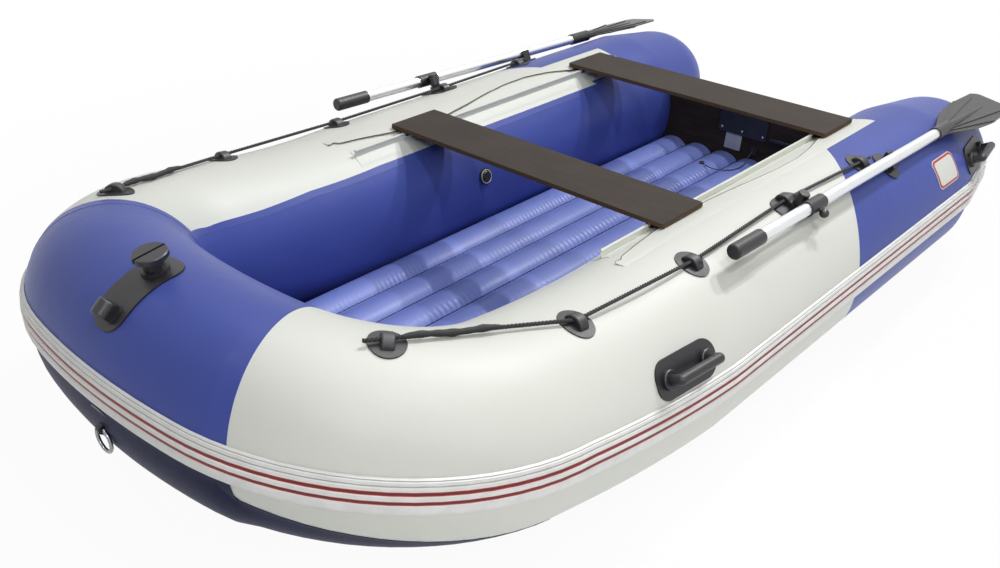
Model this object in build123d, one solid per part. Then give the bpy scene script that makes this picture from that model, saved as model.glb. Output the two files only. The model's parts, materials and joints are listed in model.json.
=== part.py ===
from build123d import *
import os
from math import acos, asin, cos, degrees, pi, radians, sin, sqrt, tan

# Inflatable boat: a tapered U of air tubes round an air-deck floor, with a plywood transom,
# two sliding plywood seats, and an oar stowed along each side.
#
# Millimetres. +X points to the bow, +Y to port and +Z up. The boat stands on its keel strip at
# Z = 0, and X = 0 is half way along it.

os.makedirs("parts", exist_ok=True)

# ---- hull ----
HULL_LENGTH = 2860.0
HALF = HULL_LENGTH / 2
TUBE_R = 240.0  # side tubes
BOW_R = 198.0  # the tube narrows to this at the bow
TUBE_Y = 548.0  # side tube's centreline from the middle of the boat
KEEL_DROP = 14.0  # keel strip below the side tubes
BOW_RISE = 155.0  # centreline at the bow above the side tubes' centreline
RISE_POWER = 1.8
CORNER_R = 370.0  # plan radius of the centreline at each bow corner
FRONT_R = 1500.0  # plan radius of the centreline across the bow
RISE_LENGTH = 882.0  # from the first of the rise to the bow
CONE_LENGTH = 415.0
CONE_END_R = 165.0  # radius that a cone's straight sides would reach at its tip
CONE_LIFT = 0.3  # share of the taper by which a cone's centreline rises
CONE_NOSE = 190.0  # rounded last part of a cone
CONE_CAP_R = 30.0
BOW_SEAM = 18.0  # degrees round the bow corner from dead ahead
STERN_SEAM_X = -0.3475 * HALF  # where the 45 degree stern seam crosses the top of the side tube
SKIN = 0.3  # gap between a fitting and the tube that it is glued to

# ---- rub strake ----
STRAKE_T = 9.0
STRAKE_SKIN = 0.7  # gap between the strake and the tubes
STRAKE_H = 76.0
STRAKE_ANGLE = 5.0  # degrees above the tube's outermost line
STRAKE_GROOVE = 2.5

# ---- floor, keel and bottom ----
FLOOR_TOP = 182.0
FLOOR_VALLEY = 168.0
FLOOR_BASE = 112.0
FLOOR_CHANNELS = 6
FLOOR_NOSE = 340.0  # from the floor's front end to the bow of the hull
FLOOR_CORNER = 220.0
KEEL_TUBE_R = 45.0
KEEL_TUBE_NOSE = 0.4476 * HALF  # x of the keel tube's rounded front end
KEEL_RISE_X = 0.35 * HALF  # the keel line rises ahead of this
KEEL_RISE_POWER = 3.6
KEEL_END_BACK = 4.0  # the keel line meets the bow tube this far behind its centreline
STRIP_W = 90.0
STRIP_T = 5.0
STRIP_SHORT = 4  # sections of the bottom that the strip stops short of
BOTTOM_T = 5.0
BOTTOM_SIDE = 0.925  # sheet's edge, as a share of the way out to the tube's centreline
BOTTOM_UP = 0.14  # sheet's edge above the tube's lowest line, as a share of the radius
BOTTOM_STEPS = 14  # sections of the rising part, closer together towards the bow
BOTTOM_CROWD = 1.6
BOTTOM_BACK = 16.0  # sheet's end aft of the transom

# ---- transom ----
TRANSOM_SET = 452.0  # inner face at the keel, forward of the cones' tips
TRANSOM_T = 28.0
TRANSOM_TOP = 395.0
TRANSOM_DIP = 14.0
TRANSOM_DIP_W = 300.0
TRANSOM_RAKE = 6.0
PLATE_W = 190.0
PLATE_H = 120.0
PLATE_T = 4.0
PLATE_DOWN = 8.0  # plate's upper edge below the dip
PLATE_CORNER = 12.0
DRAIN_Y = 60.0
DRAIN_Z = 214.0
DRAIN_R = 15.0

# ---- seats and rails ----
SEAT_LENGTH = 955.0
SEAT_WIDTH = 176.0
SEAT_T = 12.0
SEAT_CORNER = 6.0
SEAT_EDGE = 1.2
SEAT_GAP = 5.2  # seat's underside above the tube at the seat's ends
FRONT_SEAT_X = 0.0874 * HALF
REAR_SEAT_X = -0.485 * HALF
RAIL_Y = 430.0
RAIL_FORE = 0.274 * HALF
RAIL_AFT = -0.594 * HALF
RAIL_BEAD_R = 4.0
RAIL_WEB = 2.4
RAIL_FLAP_W = 56.0
RAIL_FLAP_T = 2.6
RAIL_CORNER = 20.0
RAIL_END = 30.0  # flap beyond each end of the bead
SLIDER_W = 15.0
SLIDER_RUN = 0.4  # gap between a slider and its rail
SLIDER_ROOF = 3.0

# ---- grab lines and their guides ----
GUIDE_X = (0.75 * HALF, 0.49 * HALF, 0.211 * HALF, -0.359 * HALF)  # the last is aft of the oarlock
GUIDE_ANGLE = (88.0, 75.0, 73.0, 70.0)
GUIDE_L = 74.0
GUIDE_W = 86.0
GUIDE_T = 3.0
HOOD_HALF = 25.0  # half the span of a guide's arch, and of the one on an oarlock's base
HOOD_UP = 21.0
HOOD_L = 26.0
ROPE_R = 4.0
ROPE_UP = 11.0  # rope's centreline above the tube at a guide
ROPE_TAIL = 46.0  # rope's end beyond its last guides

# ---- oars and oarlocks ----
LOCK_X = -0.0923 * HALF
LOCK_ANGLE = 68.0
LOCK_PAD_L = 118.0
LOCK_PAD_W = 90.0
LOCK_PAD_SHIFT = -10.0  # pad's middle outboard of the post
LOCK_PAD_T = 4.0
LOCK_BOSS_R = 19.0
LOCK_ROPE = 30.0  # rope inboard of the post
LOCK_BOSS_H = 14.0
LOCK_POST_R = 9.0
LOCK_POST_RUN = 0.06  # radial gap of the post in its boss
LOCK_HEAD_R = 15.0
PIN_UP = 43.0  # oar's centreline above the tube at the oarlock
PIN_R = 5.0
OAR_SIDE = 35.0  # oar's centreline outboard of the oarlock's post
OAR_TILT = 1.5  # degrees that the oar falls towards the stern
OAR_SPREAD = 0.9  # degrees that it runs outboard towards the stern
OAR_R = 16.0
OAR_WALL = 2.0
OAR_FORE = 377.0  # grip's end ahead of the pin
OAR_AFT = 750.0  # shaft's aft end behind the pin
GRIP_L = 118.0
GRIP_R = 19.0
COLLAR_L = 76.0
COLLAR_R = 19.5
KNOB_R = 12.0
BLADE_L = 470.0
BLADE_W = 144.0
BLADE_T = 4.0
BLADE_ROLL = 12.0  # degrees that the blade turns towards level
BLADE_DEPTH = 50.0  # shaft inside the socket
SOCKET_L = 95.0
SOCKET_R = 19.5
SLEEVE_RUN = 0.2  # gap of the grip, collar and socket round the shaft
CLIP_X = -0.4196 * HALF
CLIP_L = 66.0
CLIP_W = 92.0
CLIP_T = 4.0
CLIP_SEAT_GAP = 1.0
CLIP_LUG_UP = 8.0  # lug's top above the oar's centreline
CLIP_LUG_T = 8.0
CLIP_REST_L = 30.0

# ---- carry handles ----
SIDE_HANDLE_X = 0.358 * HALF
SIDE_HANDLE_ANGLE = 27.0
STERN_HANDLE_X = -0.778 * HALF
STERN_HANDLE_ANGLE = 28.0
HANDLE_L = 205.0
HANDLE_W = 88.0
HANDLE_T = 4.0
HANDLE_GRIP_R = 12.0
HANDLE_GRIP_UP = 40.0
HANDLE_SPAN = 132.0
HANDLE_BOSS_R = 22.0

# ---- bow fittings ----
BOW_PAD_W = 92.0
BOW_PAD_T = 4.0
BOW_PAD_FROM = 38.0  # degrees above the tube's outermost line
BOW_PAD_TO = 98.0
BOLLARD_ANGLE = 82.0
BOLLARD_R = 21.0
BOLLARD_H = 42.0
BOLLARD_CAP_R = 36.0
BOLLARD_CAP_T = 11.0
BOLLARD_SLOT = 6.0
FAIRLEAD_ANGLE = 49.0
FAIRLEAD_R = 20.0
FAIRLEAD_HOLE_R = 9.0
FAIRLEAD_UP = 18.0  # eye's middle above its pad
FAIRLEAD_L = 34.0
TOW_ANGLE = -24.0
TOW_PATCH_R = 48.0
TOW_PATCH_T = 3.0
TOW_RING_R = 27.0
TOW_ROD_R = 4.0

# ---- inflation valves ----
VALVE_X = -0.0126 * HALF
VALVE_ANGLE = 166.0
VALVE_R = 26.0
VALVE_T = 3.0
VALVE_CAP_R = 17.0
VALVE_CAP_T = 9.0

# ---- drain ----
TETHER_R = 1.6
TETHER_ROUTE = (  # from the tab on the floor to the plug, its x ahead of the transom
    (137.3, -45.9, 184.0),
    (148.0, -26.0, 184.0),
    (154.0, 2.0, 184.0),
    (144.0, 32.0, 184.0),
    (122.0, 54.0, 184.0),
    (92.0, 65.0, 184.0),
    (60.0, 65.0, 184.0),
    (34.0, 61.0, 188.0),
    (15.0, 60.0, 206.0),
    (3.0, 60.0, 214.0),
    (-10.8, 60.0, 215.3),
)
TAB_R = 9.0
TAB_H = 5.0

# ---- worked out ----
BOW_TIP = HALF - STRAKE_T - STRAKE_SKIN
BOW_X = BOW_TIP - BOW_R  # centreline at the bow
STERN_X = -HALF
TUBE_Z = TUBE_R + KEEL_DROP
FRONT_HALF = degrees(asin((TUBE_Y - CORNER_R) / (FRONT_R - CORNER_R)))  # half the arc across the bow
FRONT_CENTRE = BOW_X - FRONT_R
CORNER_CENTRE = (
    FRONT_CENTRE + (FRONT_R - CORNER_R) * cos(radians(FRONT_HALF)),
    TUBE_Y - CORNER_R,
)
CORNER_X = CORNER_CENTRE[0]
CORNER_FRONT = CORNER_X + CORNER_R * cos(radians(FRONT_HALF))
FRONT_RUN = radians(FRONT_HALF) * FRONT_R
CORNER_RUN = radians(90 - FRONT_HALF) * CORNER_R
RISE_X = BOW_X - RISE_LENGTH
CONE_X = STERN_X + CONE_LENGTH
TRANSOM_X = STERN_X + TRANSOM_SET
KEEL_END_X = BOW_X - KEEL_END_BACK
KEEL_END_Z = TUBE_Z + BOW_RISE - BOW_R
SEAT_Z = TUBE_Z + sqrt(TUBE_R**2 - (TUBE_Y - SEAT_LENGTH / 2) ** 2) + SEAT_GAP
BEAD_Z = SEAT_Z - SLIDER_ROOF - SLIDER_RUN - RAIL_BEAD_R
ROPE_LOCK_ANGLE = LOCK_ANGLE + degrees(LOCK_ROPE / TUBE_R)
CONE_FULL = sqrt(1 - (CONE_CAP_R / CONE_END_R) ** 2)  # how far round its nose a cone goes


def run_at_turn(turn):
    """Plan distance from the bow to where the centreline faces `turn` degrees from ahead."""
    if turn <= FRONT_HALF:
        return radians(turn) * FRONT_R
    return FRONT_RUN + radians(turn - FRONT_HALF) * CORNER_R


def run_at_x(x):
    """Plan distance from the bow to the port centreline's point at x."""
    if x < CORNER_X:
        return FRONT_RUN + CORNER_RUN + CORNER_X - x
    if x < CORNER_FRONT:
        return run_at_turn(degrees(acos((x - CORNER_X) / CORNER_R)))
    return acos((x - FRONT_CENTRE) / FRONT_R) * FRONT_R


def station(run):
    """Centreline point, level outboard direction and radius of the tube, `run` from the bow."""
    side = -1 if run < 0 else 1
    run = abs(run)
    if run < FRONT_RUN:
        turn = run / FRONT_R
        x, y = FRONT_CENTRE + FRONT_R * cos(turn), FRONT_R * sin(turn)
    elif run < FRONT_RUN + CORNER_RUN:
        turn = radians(FRONT_HALF) + (run - FRONT_RUN) / CORNER_R
        x, y = CORNER_X + CORNER_R * cos(turn), CORNER_CENTRE[1] + CORNER_R * sin(turn)
    else:
        turn = pi / 2
        x, y = CORNER_X - (run - FRONT_RUN - CORNER_RUN), TUBE_Y
    rise = max(0.0, (x - RISE_X) / RISE_LENGTH)
    z = TUBE_Z + BOW_RISE * rise**RISE_POWER
    radius = TUBE_R - (TUBE_R - BOW_R) * rise
    if x < CONE_X:
        side_r = TUBE_R - (TUBE_R - CONE_END_R) * (CONE_X - x) / CONE_LENGTH
        z += CONE_LIFT * (TUBE_R - side_r)
        nose = CONE_FULL * max(0.0, (STERN_X + CONE_NOSE - x) / CONE_NOSE)
        radius = side_r * sqrt(1 - nose**2)
    return Vector(x, side * y, z), Vector(cos(turn), side * sin(turn), 0), radius


def on_tube(run, angle, up=0.0):
    """Point of the tube's surface, `angle` degrees above its outermost line, raised by `up`."""
    centre, out, radius = station(run)
    return centre + (out * cos(radians(angle)) + Vector(0, 0, sin(radians(angle)))) * (radius + up)


def tube_plane(run, angle, up=0.0):
    """Plane on the port tube: x forward along the tube, z away from it, y outboard and down."""
    ahead = on_tube(run - 1, angle) - on_tube(run + 1, angle)
    inboard = on_tube(run, angle + 0.5) - on_tube(run, angle - 0.5)
    return Plane(origin=on_tube(run, angle, up), x_dir=ahead, z_dir=inboard.cross(ahead))


def section(run, grow=0.0):
    """The tube's round section, `run` from the bow, with `grow` added to its radius."""
    centre, out, radius = station(run)
    return Plane(origin=centre, x_dir=out, z_dir=Vector(0, 0, 1).cross(out)) * Circle(radius + grow)


def tube(first, last, count, grow=0.0):
    """Solid tube from one run to another, through `count` sections."""
    step = (last - first) / (count - 1)
    return loft([section(first + step * i, grow) for i in range(count)])


def straight_tube(fore, aft, grow=0.0):
    """Solid round bar of a side tube's parallel part, between two values of x."""
    face = Plane(origin=(fore, TUBE_Y, TUBE_Z), x_dir=(0, 1, 0), z_dir=(-1, 0, 0)) * Circle(TUBE_R + grow)
    return extrude(face, amount=fore - aft)


def near(run, reach, grow):
    """Solid tube about one place, with `grow` added to its radius."""
    fore, aft = station(run - reach)[0].X, station(run + reach)[0].X
    if aft < CONE_X:
        return stern_cone(grow)
    if fore <= RISE_X:
        return straight_tube(fore, aft, grow)
    return tube(run - reach, run + reach, 7, grow)


def seated(run, angle, outline, thick, reach, extra=None):
    """Sheet of `thick` glued on the tube, its outline on the tangent plane, and what stands on it."""
    plane = tube_plane(run, angle)
    sheet = plane * extrude(outline, amount=reach * 0.7, both=True)
    sheet &= near(run, reach, SKIN + thick)
    if extra is not None:
        sheet += plane * extra
    return sheet - near(run, reach, SKIN)


def mirrored(shape):
    """The same piece on the other side of the boat."""
    return mirror(shape, about=Plane.XZ)


# ---- air tubes ----
def bow_tube(grow=0.0):
    """Tapered tube across the bow, from seam to seam."""
    end = run_at_turn(BOW_SEAM)
    return tube(-end, end, 13, grow)


def stern_half(fore):
    """Block on one side of the 45 degree stern seam."""
    size = 4 * TUBE_R
    seam = Plane(origin=(STERN_SEAM_X, TUBE_Y, TUBE_Z), x_dir=(0, 0, 1), z_dir=(1, -1, 0))
    return seam * Pos(0, 0, size / 2 if fore else -size / 2) * Box(size, size, size)


def side_tube(grow=0.0):
    """Port tube from the bow seam to the stern seam."""
    bent = tube(run_at_turn(BOW_SEAM), run_at_x(RISE_X), 19, grow)
    return bent + (straight_tube(RISE_X, STERN_SEAM_X - TUBE_R - 20, grow) - stern_half(False))


def stern_cone(grow=0.0):
    """Port tube behind the stern seam, tapered to a rounded end."""
    first, last = run_at_x(CONE_X), run_at_x(STERN_X)
    nose = last - CONE_NOSE
    steps = 8
    taper = loft([section(first, grow), section(nose, grow)], ruled=True)
    taper += loft([section(nose + CONE_NOSE * sin(pi / 2 * i / steps), grow) for i in range(steps + 1)])
    return taper + (straight_tube(STERN_SEAM_X + TUBE_R + 20, CONE_X, grow) - stern_half(True))


def less_tubes(shape):
    """A piece with the room of every air tube taken out of it."""
    shape -= bow_tube(SKIN)
    for solid in (side_tube(SKIN), stern_cone(SKIN)):
        shape = shape - solid - mirrored(solid)
    return shape


# ---- rub strake ----
def strake_section(run):
    """Section of the ribbed rubbing strake, bent to the tube."""
    centre, out, radius = station(run)
    half = degrees(STRAKE_H / 2 / radius)

    def point(angle, up):
        angle = radians(STRAKE_ANGLE + angle)
        return centre + (out * cos(angle) + Vector(0, 0, sin(angle))) * (radius + STRAKE_SKIN + up)

    groove = STRAKE_T - STRAKE_GROOVE
    outer = [(0.94, STRAKE_T * 0.45), (0.66, STRAKE_T), (0.34, groove), (0.0, STRAKE_T)]
    outer += [(-share, up) for share, up in outer[2::-1]]
    line = Polyline([point(half, 0)] + [point(half * share, up) for share, up in outer] + [point(-half, 0)])
    return make_face([ThreePointArc(point(-half, 0), point(0, 0), point(half, 0)), line])


def rub_strake():
    """Rubbing strake round the outside of the tubes, from one cone to the other."""
    bend = run_at_x(RISE_X)
    steps = 18
    bow = loft([strake_section(bend * i / steps) for i in range(-steps, steps + 1)])
    side = [bend, run_at_x(CONE_X), run_at_x(STERN_X + CONE_NOSE)]
    port = loft([strake_section(run) for run in side], ruled=True)
    return bow + port + mirrored(port)


# ---- floor, keel tube and bottom ----
def keel_z(x):
    """Height of the keel strip's underside."""
    share = max(0.0, (x - KEEL_RISE_X) / (KEEL_END_X - KEEL_RISE_X))
    return KEEL_END_Z * share**KEEL_RISE_POWER


def bottom_section(x, low, high):
    """Section of the V bottom at x, between two heights above its outside."""
    centre, out, radius = station(run_at_x(x))
    side_y, side_z = centre.Y * BOTTOM_SIDE, centre.Z - radius * (1 - BOTTOM_UP)
    flat = min(STRIP_W / 2, side_y / 2)
    keel = keel_z(x) + STRIP_T + SKIN
    line = [(-side_y, side_z), (-flat, keel), (flat, keel), (side_y, side_z)]
    points = [(x, y, z + low) for y, z in line] + [(x, y, z + high) for y, z in line[::-1]]
    return make_face(Polyline(points, close=True))


def keel_places():
    """Values of x from under the transom to the bow."""
    rise = [1 - (1 - i / BOTTOM_STEPS) ** BOTTOM_CROWD for i in range(BOTTOM_STEPS + 1)]
    aft = TRANSOM_X - TRANSOM_T - BOTTOM_BACK
    return [aft] + [KEEL_RISE_X + (KEEL_END_X - KEEL_RISE_X) * share for share in rise]


def bottom_loft(low, high):
    """The V bottom from under the transom to the bow, between two heights above its outside."""
    return loft([bottom_section(x, low, high) for x in keel_places()], ruled=True)


def bottom():
    """Bottom sheet between the tubes."""
    return less_tubes(bottom_loft(0, BOTTOM_T))


def keel_strip():
    """Wear strip along the keel, short of the bow tube."""
    half = STRIP_W / 2
    faces = []
    for x in keel_places()[:-STRIP_SHORT]:
        low, high = keel_z(x), keel_z(x) + STRIP_T
        outline = [(x, -half, low), (x, half, low), (x, half, high), (x, -half, high)]
        faces.append(make_face(Polyline(outline, close=True)))
    return loft(faces, ruled=True)


def floor_half(height):
    """Half width between the tubes at a height."""
    return TUBE_Y - sqrt(TUBE_R**2 - (TUBE_Z - height) ** 2) - SKIN


def behind_transom():
    """Block of all that lies aft of the transom's inner face."""
    return TRANSOM_PLANE * Pos(0, 0, SKIN) * Box(2000, 2000, 500, align=(Align.CENTER, Align.CENTER, Align.MAX))


def air_floor():
    """Air deck of lengthwise channels, with a rounded nose."""
    half = floor_half(FLOOR_VALLEY)
    width = 2 * half / FLOOR_CHANNELS
    aft = TRANSOM_X - 40
    edges = []
    for i in range(FLOOR_CHANNELS):
        left = -half + i * width
        crown = (aft, left + width / 2, FLOOR_TOP)
        edges.append(ThreePointArc((aft, left, FLOOR_VALLEY), crown, (aft, left + width, FLOOR_VALLEY)))
    low = floor_half(FLOOR_BASE)
    corners = [(half, FLOOR_VALLEY), (low, FLOOR_BASE), (-low, FLOOR_BASE), (-half, FLOOR_VALLEY)]
    edges.append(Polyline([(aft, y, z) for y, z in corners]))
    length = BOW_TIP - FLOOR_NOSE - aft
    deck = extrude(make_face(edges), amount=length, dir=(1, 0, 0))
    nose = Pos(aft, 0, 0) * Box(length, 2 * low, 2 * FLOOR_TOP, align=(Align.MIN, Align.CENTER, Align.CENTER))
    nose = fillet(nose.edges().filter_by(Axis.Z).group_by(Axis.X)[-1], FLOOR_CORNER)
    return less_tubes(deck & nose) - behind_transom() - bottom_loft(-200, BOTTOM_T + SKIN)


def keel_tube():
    """Air tube under the floor that presses the bottom into its V."""
    height = STRIP_T + SKIN + BOTTOM_T + SKIN + KEEL_TUBE_R
    fore = KEEL_TUBE_NOSE - KEEL_TUBE_R
    bar = Pos(fore, 0, height) * Rot(0, -90, 0) * Cylinder(
        KEEL_TUBE_R, fore - TRANSOM_X + 40, align=(Align.CENTER, Align.CENTER, Align.MIN)
    )
    return bar + Pos(fore, 0, height) * Sphere(KEEL_TUBE_R) - behind_transom()


# ---- transom and drain ----
RAKE = radians(TRANSOM_RAKE)
TRANSOM_PLANE = Plane(origin=(TRANSOM_X, 0, 0), x_dir=(0, 1, 0), z_dir=(cos(RAKE), 0, sin(RAKE)))


def transom():
    """Raked plywood board between the tubes, its top dipped for a motor."""
    slab = TRANSOM_PLANE * Box(2 * TUBE_Y, 1200, TRANSOM_T, align=(Align.CENTER, Align.CENTER, Align.MAX))
    wide, dip = TUBE_Y - 100, TRANSOM_DIP_W / 2
    top = TRANSOM_TOP - TRANSOM_DIP
    points = [(-wide, 0), (wide, 0), (wide, TRANSOM_TOP), (dip + TRANSOM_DIP, TRANSOM_TOP), (dip, top)]
    points += [(-y, z) for y, z in points[:1:-1]]
    outline = make_face(Polyline([(TRANSOM_X + 50, y, z) for y, z in points], close=True))
    return less_tubes(slab & extrude(outline, amount=300, dir=(-1, 0, 0))) - bottom_loft(-200, BOTTOM_T + SKIN)


def motor_plate(up):
    """Wear plate for a motor's clamp, `up` ahead of the transom's inner face."""
    middle = (TRANSOM_TOP - TRANSOM_DIP - PLATE_H / 2 - PLATE_DOWN) / cos(RAKE)
    plate = extrude(RectangleRounded(PLATE_W, PLATE_H, PLATE_CORNER), PLATE_T)
    return TRANSOM_PLANE * Pos(0, middle, up) * plate


def drain_place(up):
    """Location on the transom's inner face at the drain, `up` ahead of it."""
    return TRANSOM_PLANE * Pos(DRAIN_Y, DRAIN_Z / cos(RAKE), up)


def drain_valve():
    """Flanged drain on the transom."""
    body = Cylinder(DRAIN_R, 5, align=(Align.CENTER, Align.CENTER, Align.MIN))
    return drain_place(SKIN) * (body - Cylinder(DRAIN_R - 6, 40))


def drain_plug():
    """Push-in plug with a knob, in the drain."""
    knob = Pos(0, 0, 5.4) * Cylinder(DRAIN_R - 3, 6, align=(Align.CENTER, Align.CENTER, Align.MIN))
    stem = Cylinder(DRAIN_R - 6.3, 6, align=(Align.CENTER, Align.CENTER, Align.MIN))
    return drain_place(SKIN) * (knob + stem)


def tether_points():
    """Corners of the tether's route."""
    return [Vector(TRANSOM_X + ahead, y, z) for ahead, y, z in TETHER_ROUTE]


def drain_tether():
    """Limp cord that keeps the plug with the boat."""
    points = tether_points()
    runs = [b - a for a, b in zip(points, points[1:])]
    radii = []
    for first, second in zip(runs, runs[1:]):
        turn = radians(first.get_angle(second))
        radii.append(0.45 * min(first.length, second.length) / tan(turn / 2))
    path = FilletPolyline(*points, radius=radii)
    return sweep(Plane(origin=points[0], z_dir=runs[0]) * Circle(TETHER_R), path=path)


def tether_tab():
    """Eyelet tab on the floor where the tether is tied."""
    start, after = tether_points()[:2]
    reach = start - after
    middle = start + reach.normalized() * (TAB_R + 0.15)
    tab = Cylinder(TAB_R, TAB_H, align=(Align.CENTER, Align.CENTER, Align.MIN))
    return Pos(middle.X, middle.Y, FLOOR_TOP + SKIN) * chamfer(tab.edges().group_by(Axis.Z)[-1], 1)


# ---- seats and rails ----
def seat(x):
    """Plywood seat board."""
    board = extrude(RectangleRounded(SEAT_WIDTH, SEAT_LENGTH, SEAT_CORNER), SEAT_T)
    board = chamfer(board.edges().filter_by(Plane.XY), SEAT_EDGE)
    return Pos(x, 0, SEAT_Z) * board


def rail_slider(x):
    """Channel under a seat's port end that hooks round the rail's bead."""
    inner = RAIL_BEAD_R + SLIDER_RUN
    height = SLIDER_ROOF + 2 * inner + 2
    block = Box(SEAT_WIDTH - 20, SLIDER_W, height, align=(Align.CENTER, Align.CENTER, Align.MAX))
    block -= Pos(0, 0, BEAD_Z - SEAT_Z) * Rot(0, 90, 0) * Cylinder(inner, SEAT_WIDTH)
    slot = Box(SEAT_WIDTH, RAIL_WEB + 2 * SLIDER_RUN, 30, align=(Align.CENTER, Align.CENTER, Align.MAX))
    return Pos(x, RAIL_Y, SEAT_Z) * (block - Pos(0, 0, BEAD_Z - SEAT_Z) * slot)


def seat_rail():
    """Port rail: a flap glued along the tube, with a web and a bead."""
    length, middle = RAIL_FORE - RAIL_AFT, (RAIL_FORE + RAIL_AFT) / 2
    outline = RectangleRounded(length, RAIL_FLAP_W, RAIL_CORNER)
    strip = Pos(middle, RAIL_Y, TUBE_Z + TUBE_R) * extrude(outline, TUBE_R / 2, both=True)
    rail = strip & straight_tube(RAIL_FORE + 20, RAIL_AFT - 20, SKIN + RAIL_FLAP_T)
    bead = length - 2 * RAIL_END
    rail += Pos(middle, RAIL_Y, BEAD_Z) * Box(bead, RAIL_WEB, 40, align=(Align.CENTER, Align.CENTER, Align.MAX))
    rail += Pos(middle, RAIL_Y, BEAD_Z) * Rot(0, 90, 0) * Cylinder(RAIL_BEAD_R, bead)
    rail -= straight_tube(RAIL_FORE + 20, RAIL_AFT - 20, SKIN)
    return rail - tube(run_at_x(RAIL_FORE + 40), run_at_x(RISE_X), 5, SKIN)


# ---- grab lines and their guides ----
def rope_points():
    """Places the port grab line runs through, from its bow end to its stern end."""
    places = list(zip(GUIDE_X, GUIDE_ANGLE))
    places.insert(3, (LOCK_X, ROPE_LOCK_ANGLE))
    points = [on_tube(run_at_x(x), angle, ROPE_UP) for x, angle in places]
    first = points[0] + (points[0] - points[1]).normalized() * ROPE_TAIL
    last = points[-1] + (points[-1] - points[-2]).normalized() * ROPE_TAIL
    return [first] + points + [last]


def grab_line(grow=0.0):
    """Port grab line."""
    points = rope_points()
    line = Pos(points[0]) * Sphere(ROPE_R + grow)
    for start, end in zip(points, points[1:]):
        run = end - start
        bar = Cylinder(ROPE_R + grow, run.length, align=(Align.CENTER, Align.CENTER, Align.MIN))
        line += Plane(origin=start, z_dir=run) * bar
        line += Pos(end) * Sphere(ROPE_R + grow)
    return line


def hood():
    """Arch over the rope, on the tangent plane, with the rope along its x."""
    arch = extrude(Plane.YZ * Ellipse(HOOD_HALF, HOOD_UP), HOOD_L / 2, both=True)
    return fillet(arch.edges(), 4)


def rope_guides():
    """The port grab line's four guides."""
    room = grab_line(1.0)
    outline = Ellipse(GUIDE_L / 2, GUIDE_W / 2)
    return [
        seated(run_at_x(x), angle, outline, GUIDE_T, GUIDE_L / 2 + 12, hood()) - room
        for x, angle in zip(GUIDE_X, GUIDE_ANGLE)
    ]


# ---- oars and oarlocks ----
LOCK_PLANE = tube_plane(run_at_x(LOCK_X), LOCK_ANGLE)
PIN_PLANE = LOCK_PLANE * Pos(0, OAR_SIDE, PIN_UP)
OAR_PLANE = PIN_PLANE * Rot(0, -OAR_TILT, -OAR_SPREAD)


def along_oar(fore, aft, radius):
    """Solid bar on the oar's axis between two distances ahead of the pin."""
    bar = Cylinder(radius, fore - aft, align=(Align.CENTER, Align.CENTER, Align.MIN))
    return OAR_PLANE * Pos(aft, 0, 0) * Rot(0, 90, 0) * bar


def oarlock_base():
    """Pad with the oarlock's boss and an arch over the grab line."""
    shift = Pos(0, LOCK_PAD_SHIFT, 0)
    outline = shift * RectangleRounded(LOCK_PAD_L, LOCK_PAD_W, 36)
    boss = Cylinder(LOCK_BOSS_R, LOCK_PAD_T + LOCK_BOSS_H, align=(Align.CENTER, Align.CENTER, Align.MIN))
    base = seated(run_at_x(LOCK_X), LOCK_ANGLE, outline, LOCK_PAD_T, 90, boss + Pos(0, -LOCK_ROPE, 0) * hood())
    bore = Pos(0, 0, 2.5) * Cylinder(
        LOCK_POST_R + LOCK_POST_RUN, 60, align=(Align.CENTER, Align.CENTER, Align.MIN)
    )
    return base - LOCK_PLANE * bore - grab_line(1.0)


def oarlock_head():
    """Turning head with its post, the oar's pin and the knob that holds the oar."""
    low = LOCK_PAD_T + LOCK_BOSS_H + 0.5
    post = Pos(0, 0, 3.0) * Cylinder(LOCK_POST_R, low, align=(Align.CENTER, Align.CENTER, Align.MIN))
    head = Pos(0, 0, low) * Cylinder(
        LOCK_HEAD_R, PIN_UP + LOCK_HEAD_R - 2 - low, align=(Align.CENTER, Align.CENTER, Align.MIN)
    )
    head = fillet(head.edges(), 3)
    reach = OAR_SIDE + COLLAR_R + 3
    pin = Pos(0, 0, PIN_UP) * Rot(-90, 0, 0) * Cylinder(PIN_R, reach, align=(Align.CENTER, Align.CENTER, Align.MIN))
    knob = Pos(0, reach + KNOB_R - 2, PIN_UP) * Sphere(KNOB_R)
    return LOCK_PLANE * (post + head + pin + knob)


def pin_room():
    """Hole for the pin through the oar."""
    return PIN_PLANE * Rot(90, 0, 0) * Cylinder(PIN_R + SLEEVE_RUN, 3 * COLLAR_R)


def oar_shaft():
    """Aluminium tube of the oar."""
    fore, aft = OAR_FORE - 5, -OAR_AFT - BLADE_DEPTH
    return along_oar(fore, aft, OAR_R) - along_oar(fore + 1, aft - 1, OAR_R - OAR_WALL) - pin_room()


def oar_grip():
    """Rubber grip on the fore end of the shaft."""
    grip = along_oar(OAR_FORE, OAR_FORE - GRIP_L, GRIP_R)
    grip = fillet(grip.edges().group_by(Axis.X)[-1], 6)
    return grip - along_oar(OAR_FORE - 5 + SLEEVE_RUN, OAR_FORE - GRIP_L - 1, OAR_R + SLEEVE_RUN)


def oar_collar():
    """Ribbed collar round the shaft at the pin."""
    collar = along_oar(COLLAR_L / 2, -COLLAR_L / 2, COLLAR_R)
    return collar - along_oar(COLLAR_L, -COLLAR_L, OAR_R + SLEEVE_RUN) - pin_room()


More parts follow.
